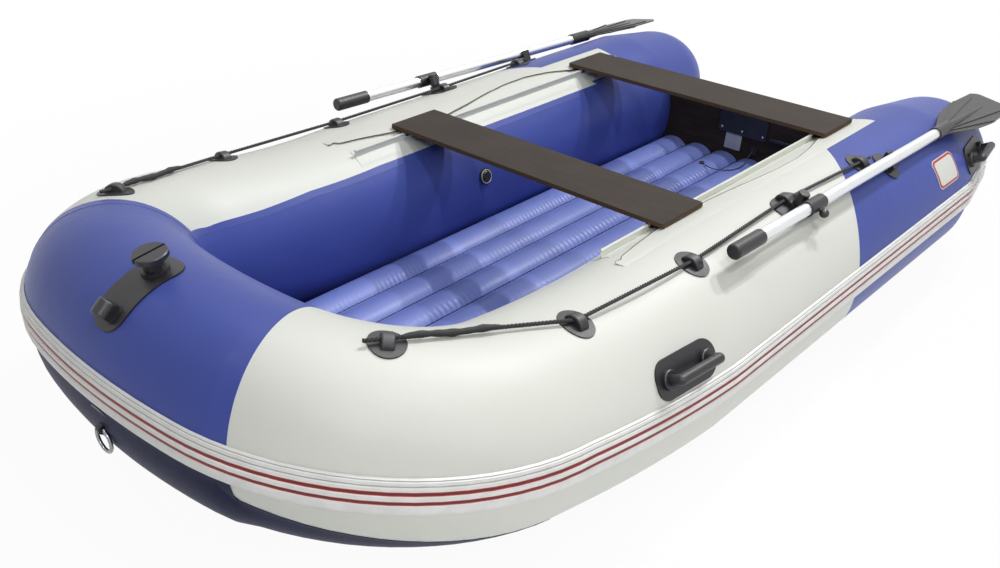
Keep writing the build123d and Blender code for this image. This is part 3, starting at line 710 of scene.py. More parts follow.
@dataclass
class Skin:
    """Closed rows of points that become one smooth mesh with a UV map in metres."""

    name: str
    rows: list[list[Vector]]
    bands: Sequence[int] = ()
    caps: bool = True
    sharp: float = 30.0

    def build(self, materials: Sequence[bpy.types.Material]) -> bpy.types.Object:
        """Makes the mesh.

        Args:
            materials: Finishes that the bands number.

        Returns:
            The new object, at the origin.
        """
        width = len(self.rows[0])
        count = width + 1
        along, across = [0.0], [0.0]
        for a, b in zip(self.rows, self.rows[1:]):
            along.append(along[-1] + sum((p - q).length for p, q in zip(a, b)) / width)
        middle = self.rows[len(self.rows) // 2]
        for i in range(1, count):
            across.append(across[-1] + (middle[i % width] - middle[i - 1]).length)
        piece = begin(self.name, bpy.ops.mesh.primitive_grid_add, x_subdivisions=width,
                      y_subdivisions=len(self.rows) - 1)
        mesh = piece.data
        for vertex in mesh.vertices:
            row, column = divmod(vertex.index, count)
            vertex.co = self.rows[row][column % width]
        layer = mesh.uv_layers.active
        for loop in mesh.loops:
            row, column = divmod(loop.vertex_index, count)
            layer.data[loop.index].uv = (along[row], across[column])
        for face in mesh.polygons:
            face.material_index = self.bands[face.index % width] if self.bands else 0
        for material in materials:
            mesh.materials.append(material)
        bpy.ops.object.mode_set(mode="EDIT")
        bpy.ops.mesh.select_all(action="SELECT")
        bpy.ops.mesh.remove_doubles(threshold=SAME_POINT)
        if self.caps:
            bpy.ops.mesh.fill_holes(sides=0)
        bpy.ops.mesh.select_all(action="SELECT")
        bpy.ops.mesh.normals_make_consistent(inside=False)
        bpy.ops.object.mode_set(mode="OBJECT")
        smooth(self.sharp)
        return piece


class Profile:
    """Round section of a tube as angles, heights above the fabric and bands of finish."""

    def __init__(self, step: float = 4.0) -> None:
        """Starts an empty profile with that many degrees between points.

        Args:
            step: Degrees between points.
        """
        self.step = step
        self.points: list[tuple[float, float]] = []
        self.bands: list[int] = []

    def arc(self, start: float, end: float, band: int, up: float = 0.0) -> "Profile":
        """Adds a stretch of one finish.

        Args:
            start: First angle, in degrees above the outermost line.
            end: Last angle.
            band: Number of its finish.
            up: Height of the stretch above the fabric.

        Returns:
            This profile.
        """
        steps = max(1, round((end - start) / self.step))
        first = 0 if not self.points or self.points[-1] != (start, up) else 1
        for i in range(first, steps + 1):
            self.points.append((start + (end - start) * i / steps, up))
            self.bands.append(band)
        return self


@dataclass
class AirTubes:
    """The five air chambers' fabric: bow cap, white sides, blue cones, with their seam tapes."""

    under_bow: float = -5.5
    under_side: float = -52.0
    under_inner: float = 235.0
    border: float = 132.0
    border_at: tuple[tuple[float, float], ...] = (
        (0.0, 146.0), (0.60, 146.0), (0.754, 141.0), (0.853, 138.6), (1.014, 133.3), (1.25, 131.2),
        (9.0, 131.2))
    border_bend: float = 62.0
    forefoot: tuple[tuple[float, float], ...] = (
        (0.0, -19.0), (0.10, -27.0), (0.25, -37.0), (0.5, -48.0), (9.0, -52.0))
    forefoot_turn: float = 86.0
    forefoot_low: float = -112.0
    forefoot_full: float = 0.037
    forefoot_up: float = 0.0012
    forefoot_span: float = 100.0
    forefoot_reach: float = 1.04
    forefoot_power: float = 1.1
    forefoot_rows: int = 28
    tape: float = 0.0007
    tape_w: float = 5.0
    tape_step: float = 0.0004
    tape_overlap: float = 0.004
    seam_tape: float = 0.030
    row_step: float = 0.030
    seam_rows: int = 30
    taper_rows: int = 20
    nose_rows: int = 14

    def build(self, blue: bpy.types.Material, white: bpy.types.Material, navy: bpy.types.Material) -> None:
        """Makes every tube.

        Args:
            blue: Finish of the bow cap, the cones and the inner sides.
            white: Finish of the side tubes.
            navy: Finish of the undersides.
        """
        finishes = (navy, blue, white)
        self.bow(finishes)
        self.chin(navy)
        for side in Side:
            self.side(side, finishes)
            self.cone(side, finishes)

    def _ring(self, profile: "Profile", run: float, lift: float = 0.0) -> list[Vector]:
        """The profile at one run, raised by a lift, with the white's edge where it is there.

        Args:
            profile: The section.
            run: Plan distance from the bow.
            lift: Its height above the fabric.

        Returns:
            The ring's points.
        """
        shift, edge = table_value(self.border_at, abs(run)) - self.border, self.border + self.tape_w
        ring = []
        for angle, up in profile.points:
            if self.border_bend < angle <= edge:
                bent = min(angle, self.border) - self.border_bend
                angle += shift * bent / (self.border - self.border_bend)
            elif angle > edge:
                angle += shift * (self.under_inner - angle) / (self.under_inner - edge)
            ring.append(FORM.surface(run, angle, up + lift))
        return ring

    def _runs(self, first: float, last: float) -> list[float]:
        """Runs from first to last, one row's step apart."""
        return evenly(first, last, max(2, round(abs(last - first) / self.row_step)))

    def bow(self, finishes: Sequence[bpy.types.Material]) -> None:
        """The blue cap across the bow, its taped ends lying on the white.

        Args:
            finishes: Navy, blue and white.
        """
        profile = self._capped(self.under_bow)
        ends = {side: side.value * FORM.bow_seam(side) for side in Side}
        rows = [self._ring(profile, run) for run in self._runs(ends[Side.STARBOARD], ends[Side.PORT])]
        blown_up(Skin("bow_cap_fabric", rows, profile.bands).build(finishes), "bow_tube")
        for side, end in ends.items():
            lifts = [(-self.seam_tape, CLEAR), (self.tape_step - self.seam_tape, self.tape),
                     (self.tape_overlap, self.tape), (self.tape_overlap + self.tape_step, CLEAR)]
            rows = [self._ring(profile, end + side.value * shift, lift) for shift, lift in lifts]
            tape = Skin("bow_seam_tape_" + side.name.lower(), rows, profile.bands, caps=False)
            settle(tape.build(finishes))

    def _capped(self, under: float) -> "Profile":
        """Section of a blue chamber over a navy underside that ends at an angle."""
        return Profile().arc(UNDERSIDE, under, 0, self.tape).arc(under, self.under_inner - ANGLE_GAP, 1)

    def chin(self, navy: bpy.types.Material) -> None:
        """The bottom's full forefoot, drawn up outside the bow tube to the strake.

        Args:
            navy: Its finish.
        """
        reach, low, count = FORM.run_at_turn(self.forefoot_turn), self.forefoot_low, self.forefoot_rows
        rows = []
        for run in self._runs(-reach, reach):
            fade = max(0.0, math.cos(math.pi / 2 * abs(run) / reach))
            high = self._forefoot_edge(run)
            row = []
            for i in range(count + 1):
                share = i / count
                swell = math.sin(math.pi * min(1.0, share * self.forefoot_reach)) ** self.forefoot_power
                width = min(1.0, (high - low) / self.forefoot_span)
                up = self.forefoot_up + self.forefoot_full * fade * swell * width
                row.append(FORM.surface(run, low + (high - low) * share, up))
            back = count // 2
            row += [FORM.surface(run, high + (low - high) * i / back, 2 * CLEAR) for i in range(back + 1)]
            rows.append(row)
        settle(Skin("forefoot_fabric", rows, sharp=60.0).build([navy]))

    def _forefoot_edge(self, run: float) -> float:
        """Angle of the forefoot's upper edge: at the strake under the bow cap, lower under the white.

        Args:
            run: Plan distance from the bow.

        Returns:
            The angle in degrees.
        """
        seam = FORM.bow_seam(Side.PORT if run > 0 else Side.STARBOARD)
        beyond = abs(run) - seam + self.tape_overlap
        return self.under_bow - 1.0 if beyond < 0 else table_value(self.forefoot, beyond)

    def side(self, side: Side, finishes: Sequence[bpy.types.Material]) -> None:
        """A white side tube with its blue inner side.

        Args:
            side: Side of the boat.
            finishes: Navy, blue and white.
        """
        edge = self.border + self.tape_w
        profile = Profile().arc(UNDERSIDE, self.under_side, 0, self.tape).arc(self.under_side, self.border, 2)
        profile.arc(self.border, edge, 1, self.tape).arc(edge, self.under_inner - ANGLE_GAP, 1)
        first, last = FORM.bow_seam(side), FORM.run_at_x(FORM.rise_x)
        rows = [self._ring(profile, side.value * run) for run in self._runs(first, last)]
        rows += self._slanted(side, rows[-1], self.seam_rows)[1:]
        piece = Skin(side.named("side_fabric"), rows, profile.bands).build(finishes)
        blown_up(piece, side.named("side_tube"))

    def _slanted(self, side: Side, ring: Sequence[Vector], count: int) -> list[list[Vector]]:
        """Rings from an upright one to the slanted stern seam.

        Args:
            side: Side of the boat.
            ring: Points that all have the same x.
            count: Steps from the ring to the seam.

        Returns:
            The rings, the given one first.
        """
        rings = []
        for i in range(count + 1):
            places = ((p, FORM.stern_seam_x + side.value * p.y - FORM.tube_y) for p in ring)
            rings.append([Vector((p.x + (seam - p.x) * i / count, p.y, p.z)) for p, seam in places])
        return rings

    def cone(self, side: Side, finishes: Sequence[bpy.types.Material]) -> None:
        """A blue stern cone, from the slanted seam to its rounded tip.

        Args:
            side: Side of the boat.
            finishes: Navy, blue and white.
        """
        profile = self._capped(self.under_side)
        root, nose = FORM.run_at_x(FORM.cone_x), FORM.run_at_x(FORM.stern_x + FORM.cone_nose)
        runs = self._runs(root, nose)
        runs += [nose + FORM.cone_nose * math.sin(math.pi / 2 * i / self.nose_rows)
                 for i in range(1, self.nose_rows + 1)]
        rings = [self._ring(profile, side.value * run) for run in runs]
        rows = self._slanted(side, rings[0], self.taper_rows)[:0:-1] + rings
        piece = Skin(side.named("cone_fabric"), rows, profile.bands).build(finishes)
        blown_up(piece, side.named("stern_cone"))


@dataclass
class KeelBottom:
    """The V bottom's sheet, stretched between the tubes, and the air tube that presses it down."""

    rise_x: float = 0.5005
    rise_power: float = 3.6
    end_back: float = 0.004
    aft: float = -1.022
    flat: float = 0.045
    strip: float = 0.0053
    side: float = 0.925
    up: float = 0.14
    cloth: float = 0.0012
    slants: int = 10
    row_step: float = 0.030
    tube_r: float = 0.045
    tube_z: float = 0.0556
    tube_nose: float = 0.640
    tube_aft: float = -0.981
    tube_sides: int = 40
    tube_rows: int = 50
    tube_nose_rows: int = 11
    tube_tip: float = 0.3
    sheet_size: tuple[float, float] = (1.02, 2.45)
    sheet_area: float = 2.27

    def build(self, navy: bpy.types.Material) -> None:
        """Makes the sheet and the tube.

        Args:
            navy: Their finish.
        """
        end = FORM.bow_x - self.end_back
        places = evenly(self.aft, end, round((end - self.aft) / self.row_step))
        sheet = Skin("bottom_fabric", [self._section(x) for x in places], sharp=40.0).build([navy])
        settle(sheet, "bottom")
        self._tube(navy)

    def _section(self, x: float) -> list[Vector]:
        """Closed section of the sheet at x.

        Args:
            x: Where along the boat.

        Returns:
            The section's points.
        """
        centre, _, radius = FORM.station(FORM.run_at_x(x))
        out, high = centre.y * self.side, centre.z - radius * (1 - self.up)
        share = max(0.0, (x - self.rise_x) / (FORM.bow_x - self.end_back - self.rise_x))
        keel = (FORM.tube_z + FORM.bow_rise - FORM.bow_r) * share**self.rise_power + self.strip
        flat = min(self.flat, out / 2)
        half = list(zip(evenly(flat, out, self.slants), evenly(keel, high, self.slants)))
        line = [(-y, z) for y, z in half[::-1]] + half
        low = [Vector((x, y, z)) for y, z in line]
        return low + [Vector((x, y, z + self.cloth)) for y, z in line[::-1]]

    def _tube(self, navy: bpy.types.Material) -> None:
        """The keel tube, rounded at its front end.

        Args:
            navy: Its finish.
        """
        straight = self.tube_nose - self.tube_r
        places = [(x, self.tube_r) for x in evenly(self.tube_aft, straight, self.tube_rows)]
        for i in range(1, self.tube_nose_rows + 1):
            turn = math.pi / 2 * i / (self.tube_nose_rows + self.tube_tip)
            places.append((straight + self.tube_r * math.sin(turn), self.tube_r * math.cos(turn)))
        rows = [[Vector((x, radius * math.cos(a), self.tube_z + radius * math.sin(a)))
                 for a in (math.tau * k / self.tube_sides for k in range(self.tube_sides))]
                for x, radius in places]
        blown_up(Skin("keel_tube_fabric", rows, sharp=40.0).build([navy]), "keel_tube")


@dataclass
class AirDeck:
    """The floor's lengthwise channels with puckered seams between them."""

    half: float = 0.3233
    low: float = 0.3546
    top: float = 0.182
    valley: float = 0.158
    base: float = 0.112
    channels: int = 6
    corner: float = 0.220
    aft: float = -0.9965
    round: float = 0.034
    edge_in: float = 0.001
    shoulder_out: float = 0.004
    shoulder_down: float = 0.016
    seam_half: float = 0.0028
    pucker: float = 0.0017
    pucker_pitch: float = 0.0165
    pucker_off: float = 0.012
    pucker_width: float = 0.008
    pucker_swell: float = 9.0
    pucker_mean: float = 0.55
    pucker_clear: float = 0.02
    across: int = 11
    row_step: float = 0.0034
    seed: int = 7
    front: float = field(default_factory=lambda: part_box("floor")[1].x)

    def nose_x(self, y: float) -> float:
        """Front edge of the floor at y.

        Args:
            y: Distance from the middle of the boat.

        Returns:
            The edge's x.
        """
        beyond = abs(y) - (self.low - self.corner)
        if beyond <= 0:
            return self.front
        return self.front - self.corner + math.sqrt(max(0.0, self.corner**2 - beyond**2))

    def build(self, blue: bpy.types.Material, seam: bpy.types.Material) -> None:
        """Makes the floor.

        Args:
            blue: Its finish, the tubes' blue fabric made lighter as painted light for the floor's lit
                channels.
            seam: Finish of the sunk seams between the channels.
        """
        columns = self._columns()
        draw = random.Random(self.seed)
        waves = [[draw.uniform(0.0, math.tau), draw.uniform(0.8, 1.2)] for _ in range(2 * self.channels + 2)]
        steps = round((self.front - self.aft) / self.row_step)
        rows = []
        for r in range(steps + 1):
            share = r / steps
            rows.append([self._point(y, z, share, waves) for y, z in columns])
        width = 2 * self.half / self.channels
        off_seam = (abs((y + self.half + width / 2) % width - width / 2) for y, _ in columns)
        bands = [1 if off < self.seam_half else 0 for off in off_seam]
        blown_up(Skin("air_deck_fabric", rows, bands, sharp=50.0).build([blue, seam]), "floor")

    def _columns(self) -> list[tuple[float, float]]:
        """Section of the floor: y and z of each column, round the outside.

        Returns:
            The columns.
        """
        width = 2 * self.half / self.channels
        rise = self.top - self.valley
        radius = (width**2 / 4 + rise**2) / (2 * rise)
        foot, shoulder = self.low - self.edge_in, self.half + self.shoulder_out
        down = self.valley - self.shoulder_down
        columns = [(-foot, self.base), (-shoulder, down)]
        for channel in range(self.channels):
            left = -self.half + channel * width
            for i in range(self.across + (channel == self.channels - 1)):
                y = left + width * (0.5 - 0.5 * math.cos(math.pi * i / self.across))
                off = y - left - width / 2
                columns.append((y, self.top - radius + math.sqrt(max(0.0, radius**2 - off**2))))
        return columns + [(shoulder, down), (foot, self.base)]

    def _point(self, y: float, z: float, share: float, waves: Sequence[Sequence[float]]) -> Vector:
        """One point of the floor's skin.

        Args:
            y: Column's place.
            z: Column's height.
            share: How far along, from 0 aft to 1 at the front edge.
            waves: Phase and pitch of the puckers beside each seam.

        Returns:
            The point.
        """
        x = self.aft + (self.nose_x(y) - self.aft) * share
        width = 2 * self.half / self.channels
        seam = round((y + self.half) / width)
        away = y + self.half - seam * width
        index = 2 * seam + (1 if away > 0 else 0)
        phase, pitch = waves[min(index, len(waves) - 1)]
        near = math.exp(-(((abs(away) - self.pucker_off) / self.pucker_width) ** 2))
        slow = self.pucker_mean + (1 - self.pucker_mean) * math.sin(x * self.pucker_swell * pitch + phase)
        lift = self.pucker * near * slow * math.sin(x * math.tau / (self.pucker_pitch * pitch) + phase)
        edge = (x - (self.nose_x(y) - self.round)) / self.round
        if edge > 0:
            z = self.base + (z - self.base) * math.sqrt(max(0.0, 1 - edge**2))
        return Vector((x, y, max(self.base, z + (lift if z > self.base + self.pucker_clear else 0.0))))


@dataclass
class RubStrake:
    """The ribbed strake round the tubes, white with two dark red stripes."""

    height: float = 0.076
    angle: float = 5.0
    skin: float = 0.0007
    row_step: float = 0.030
    outline: tuple[tuple[float, float, int], ...] = (
        (-1.00, 0.0000, 0), (-0.98, 0.0045, 0), (-0.92, 0.0070, 0), (-0.72, 0.0082, 0),
        (-0.50, 0.0080, 0), (-0.40, 0.0074, 0), (-0.36, 0.0060, 1), (-0.31, 0.0058, 3),
        (-0.20, 0.0058, 1), (-0.15, 0.0060, 0), (-0.11, 0.0084, 0), (0.10, 0.0086, 0),
        (0.14, 0.0060, 1), (0.19, 0.0058, 3), (0.30, 0.0058, 1), (0.35, 0.0060, 0),
        (0.39, 0.0084, 0), (0.54, 0.0086, 0), (0.60, 0.0066, 2), (0.65, 0.0064, 0),
        (0.69, 0.0078, 0), (0.83, 0.0074, 0), (0.87, 0.0056, 2), (0.92, 0.0056, 0),
        (0.97, 0.0040, 0), (1.00, 0.0000, 0), (0.50, -0.0002, 0), (0.00, -0.0003, 0),
        (-0.50, -0.0002, 0),
    )

    def build(self, finishes: Sequence[bpy.types.Material]) -> None:
        """Makes the strake.

        Args:
            finishes: Those of its body, the stripes' edges, the thin upper lines and the stripes' cores.
        """
        end = FORM.run_at_x(FORM.stern_x + FORM.cone_nose)
        rows = []
        for run in evenly(-end, end, round(2 * end / self.row_step)):
            radius = FORM.station(run)[2]
            half = math.degrees(self.height / 2 / radius)
            rows.append([FORM.surface(run, self.angle + half * share, self.skin + up)
                         for share, up, _ in self.outline])
        bands = [band for _, _, band in self.outline]
        piece = Skin("strake_ribs", rows, bands, sharp=40.0).build(finishes)
        settle(piece, "rub_strake")


@dataclass
class SeatRail:
    """A seat's rail on one side: a feathered flap with its web and bead, and the loose skirt beside it."""

    fore: float = 0.3918
    aft: float = -0.8494
    end: float = 0.030
    across: float = 0.430
    foot: float = 0.028
    web: float = 0.0012
    bead_r: float = 0.004
    bead_z: float = 0.4812
    bead_arc: tuple[float, float] = (-107.0, -433.0)
    bead_steps: int = 12
    web_up: float = 0.001
    skirt_root: float = 0.526
    skirt_edge: tuple[tuple[float, float], ...] = (
        (0.430, 0.500), (0.420, 0.495), (0.410, 0.503), (0.395, 0.490), (0.300, 0.474), (0.220, 0.460),
        (0.000, 0.455), (-0.100, 0.468), (-0.200, 0.485), (-0.300, 0.497), (-0.400, 0.499), (-0.500, 0.485),
        (-0.600, 0.458), (-0.660, 0.446), (-0.830, 0.446))
    skirt_t: float = 0.0014
    skirt_up: float = 0.0003
    skirt_under: float = 0.0001
    skirt_feather: float = 6.0
    skirt_size: tuple[float, float] = (0.083, 1.26)
    skirt_area: float = 0.0737
    lift: float = 0.0034
    flap_rows: int = 70
    bead_rows: int = 60
    skirt_rows: int = 150

    def build(self, side: Side, white: bpy.types.Material, edge: bpy.types.Material) -> None:
        """Makes the rail and its skirt.

        Args:
            side: Side of the boat.
            white: Their finish.
            edge: Finish of the skirt's free edge, dark as painted shadow.
        """
        rows = [self._section(side, x) for x in evenly(self.fore, self.aft, self.flap_rows)]
        settle(Skin(side.named("rail_flap"), rows, sharp=40.0).build([white]))
        rows = [self._upright(side, x) for x in evenly(self.fore, self.aft + self.end, self.bead_rows)]
        bead = Skin(side.named("rail_bead"), rows, sharp=50.0).build([white])
        settle(bead, side.named("seat_rail"))
        self.skirt(side, (white, edge))

    def _on_tube(self, side: Side, x: float, y: float, up: float) -> Vector:
        """Point over the tube at x and at a distance from the middle of the boat.

        Args:
            side: Side of the boat.
            x: Where along the boat.
            y: Distance from the middle of the boat.
            up: Height above the fabric.

        Returns:
            The point.
        """
        run = FORM.run_at_x(x)
        centre, _, radius = FORM.station(run)
        angle = 180.0 - math.degrees(math.acos(max(-1.0, min(1.0, (centre.y - y) / radius))))
        return FORM.surface(side.value * run, angle, up)

    def _section(self, side: Side, x: float) -> list[Vector]:
        """Closed section of the glued flap.

        Args:
            side: Side of the boat.
            x: Where along the boat.

        Returns:
            The section's points.
        """
        tops = [(-1.0, 0.0004), (-0.8, 0.0012), (-0.3, 0.0017), (0.3, 0.0017), (0.8, 0.0012), (1.0, 0.0004)]
        points = tops + [(0.6, CLEAR), (0.0, CLEAR), (-0.6, CLEAR)]
        return [self._on_tube(side, x, self.across + self.foot * share, up) for share, up in points]

    def _upright(self, side: Side, x: float) -> list[Vector]:
        """Closed section of the web and its bead.

        Args:
            side: Side of the boat.
            x: Where along the boat.

        Returns:
            The section's points.
        """
        base = self._on_tube(side, x, self.across, self.web_up)
        row = [Vector((x, side.value * (self.across - self.web), base.z))]
        for degrees in evenly(*self.bead_arc, self.bead_steps):
            turn = math.radians(degrees)
            row.append(Vector((x, side.value * (self.across + self.bead_r * math.cos(turn)),
                               self.bead_z + self.bead_r * math.sin(turn))))
        row.append(Vector((x, side.value * (self.across + self.web), base.z)))
        return row

    def skirt(self, side: Side, finishes: Sequence[bpy.types.Material]) -> None:
        """The skirt over the rail, its free edge drawn out by the seats and slack between them.

        Args:
            side: Side of the boat.
            finishes: Those of its cloth and of its free edge, which is painted dark as the shadow under it.
        """
        rows = []
        fore, aft = self.skirt_edge[0][0], self.skirt_edge[-1][0]
        parts = (0.0, 0.15, 0.35, 0.55, 0.72, 0.86, 0.94, 1.0)
        for x in evenly(fore, aft, self.skirt_rows):
            reach = table_value(self.skirt_edge, x) - self.skirt_root
            tops = [(self.skirt_root + reach * k, self.lift * k**2) for k in parts]
            thick = (self.skirt_t * min(1.0, self.skirt_feather * k) for k in parts)
            row = [self._on_tube(side, x, y, self.skirt_up + up + t) for (y, up), t in zip(tops, thick)]
            row += [self._on_tube(side, x, y, self.skirt_under + up) for y, up in tops[::-1]]
            rows.append(row)
        count = len(parts)
        # the free edge and the top strip beside it take the dark finish: painted shadow of the gap under the
        # lifted edge
        bands = [1 if i in (count - 2, count - 1) else 0 for i in range(2 * count)]
        piece = Skin(side.named("rail_skirt"), rows, bands, sharp=40.0).build(finishes)
        settle(piece)


@dataclass
class Patch:
    """A thin sheet glued on a tube, its outline a rounded rectangle."""

    name: str
    run: float
    angle: float
    half_length: float
    half_width: float
    corner: float
    thickness: float
    raised: float
    cells: int = 14

    def build(self, finish: bpy.types.Material, slot: Slot) -> bpy.types.Object:
        """Makes the patch.

        Args:
            finish: Its finish.
            slot: The record's slot; not used.

        Returns:
            The piece.
        """
        piece = begin(self.name, bpy.ops.mesh.primitive_grid_add, x_subdivisions=self.cells,
                      y_subdivisions=self.cells, size=2.0)
        radius = FORM.station(self.run)[2]
        sign = 1 if self.run >= 0 else -1
        for vertex in piece.data.vertices:
            ahead, across = vertex.co.x * self.half_length, vertex.co.y * self.half_width
            beyond = max(0.0, abs(across) - (self.half_width - self.corner))
            cut = self.corner - math.sqrt(max(0.0, self.corner**2 - beyond**2))
            ahead *= (self.half_length - cut) / self.half_length
            run = abs(self.run) - ahead
            vertex.co = FORM.surface(sign * run, self.angle + math.degrees(across / radius), self.raised)
        piece.data.materials.append(finish)
        bpy.ops.object.mode_set(mode="EDIT")
        bpy.ops.mesh.select_all(action="SELECT")
        bpy.ops.mesh.normals_make_consistent(inside=False)
        if sign * piece.data.polygons[0].normal.y < 0 and self.angle < 90:
            bpy.ops.mesh.flip_normals()
        bpy.ops.object.mode_set(mode="OBJECT")
        wall = piece.modifiers.new("wall", "SOLIDIFY")
        wall.thickness = self.thickness
        wall.offset = 1.0
        bpy.ops.object.modifier_apply(modifier=wall.name)
        smooth(35.0)
        return settle(piece)


@dataclass
class SmallTrim:
    """Small trim: blank badges on the cones, valve rims whose pale colour is a painted highlight, the
    transom's label, bar and screws.
    """

    badge_x: float = -0.875
    badge_angle: float = 33.5
    badge_half: tuple[float, float] = (0.066, 0.042)
    badge_corner: float = 0.013
    badge_t: float = 0.0008
    badge_frame: float = 0.0065
    label_at: tuple[float, float] = (-0.030, 0.238)
    label_size: tuple[float, float, float] = (0.0012, 0.064, 0.082)
    label_edge: float = 0.0004
    bar_at: tuple[float, float] = (0.155, 0.268)
    bar_size: tuple[float, float, float] = (0.008, 0.090, 0.013)
    bar_edge: float = 0.003
    rake: float = 6.0
    inner_x: float = -0.978
    stand_off: float = 0.0004
    screw_r: float = 0.0048
    screw_flat: float = 0.45
    screw_inset: float = 0.014
    valve_x: float = -0.018
    valve_angle: float = 166.0
    rim_r: float = 0.0205
    rim_wire_r: float = 0.0016
    rim_up: float = 0.0046

    def badges(self, pale: bpy.types.Material, red: bpy.types.Material) -> None:
        """A blank pale badge with a plain red frame on each cone.

        Args:
            pale: Finish of its field.
            red: Finish of its frame.
        """
        run = FORM.run_at_x(self.badge_x)
        length, width = self.badge_half
        layers = (("backing", -0.003, 0.0003, pale), ("frame", 0.0, 0.0010, red),
                  ("field", self.badge_frame, 0.0016, pale))
        for side in Side:
            for part, shrink, up, finish in layers:
                name, corner = side.named("badge_" + part), self.badge_corner - shrink / 2
                Patch(name, side.value * run, self.badge_angle, length - shrink, width - shrink, corner,
                      self.badge_t, up).build(finish, Slot.WHITE)

    def _on_transom(self, y: float, z: float, ahead: float) -> Vector:
        """Point of the transom's inner face, moved ahead of it.

        Args:
            y: Distance to port of the middle.
            z: Height.
            ahead: Distance ahead of the face.

        Returns:
            The point.
        """
        turn = math.radians(self.rake)
        face = Vector((self.inner_x - z * math.tan(turn), y, z))
        return face + Vector((math.cos(turn), 0.0, math.sin(turn))) * ahead

    def _flat(self, name: str, at: tuple[float, float], size: tuple[float, float, float], round_r: float,
              finish: bpy.types.Material) -> None:
        """A thin plate with rounded edges on the transom's inner face.

        Args:
            name: The piece's name.
            at: Its middle, across the boat and up.
            size: Thickness, width and height.
            round_r: Radius of its edges.
            finish: Its finish.
        """
        piece = begin(name, bpy.ops.mesh.primitive_cube_add, size=1.0,
                      location=self._on_transom(*at, size[0] / 2 + self.stand_off),
                      rotation=(0.0, -math.radians(self.rake), 0.0))
        piece.scale = size
        apply_place()
        edge = piece.modifiers.new("edge", "BEVEL")
        edge.width = round_r
        edge.segments = 2
        bpy.ops.object.modifier_apply(modifier=edge.name)
        smooth(35.0)
        piece.data.materials.append(finish)
        settle(piece)

    def transom(self, pale: bpy.types.Material, dark: bpy.types.Material, metal: bpy.types.Material) -> None:
        """The transom's blank label, the bar above it and its screws.

        Args:
            pale: Finish of the label.
            dark: Finish of the bar.
            metal: Finish of the screws.
        """
        self._flat("transom_label", self.label_at, self.label_size, self.label_edge, pale)
        self._flat("transom_bar", self.bar_at, self.bar_size, self.bar_edge, dark)
        low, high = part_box("transom_inner_plate")
        across = high.y - self.screw_inset
        heights = (low.z + self.screw_inset, high.z - self.screw_inset)
        for i, (y, z) in enumerate((y, z) for y in (-across, 0.0, across) for z in heights):
            self._screw(f"plate_screw_{i}", self._on_transom(y, z, self.screw_r), metal)

    def _screw(self, name: str, place: Vector, metal: bpy.types.Material) -> None:
        """A domed screw head, facing ahead.

        Args:
            name: The piece's name.
            place: Its middle.
            metal: Its finish.
        """
        head = begin(name, bpy.ops.mesh.primitive_uv_sphere_add, segments=16, ring_count=10,
                     radius=self.screw_r, location=place, rotation=(0.0, math.radians(90.0 - self.rake), 0.0))
        head.scale = (1.0, 1.0, self.screw_flat)
        apply_place()
        smooth(60.0)
        head.data.materials.append(metal)
        settle(head)

    def valve_glint_rims(self, pale: bpy.types.Material) -> None:
        """A pale rim round each valve's cap; its pale colour is a painted highlight on the cap's edge.

        Args:
            pale: Its finish.
        """
        run = FORM.run_at_x(self.valve_x)
        for side in Side:
            rim = begin(side.named("valve_rim"), bpy.ops.mesh.primitive_torus_add, major_radius=self.rim_r,
                        minor_radius=self.rim_wire_r, major_segments=48, minor_segments=10)
            rim.data.transform(FORM.frame(side.value * run, self.valve_angle, self.rim_up))
            smooth(60.0)
            # painted highlight: the rim is pale where the valve's cap catches the light
            rim.data.materials.append(pale)
            settle(rim)


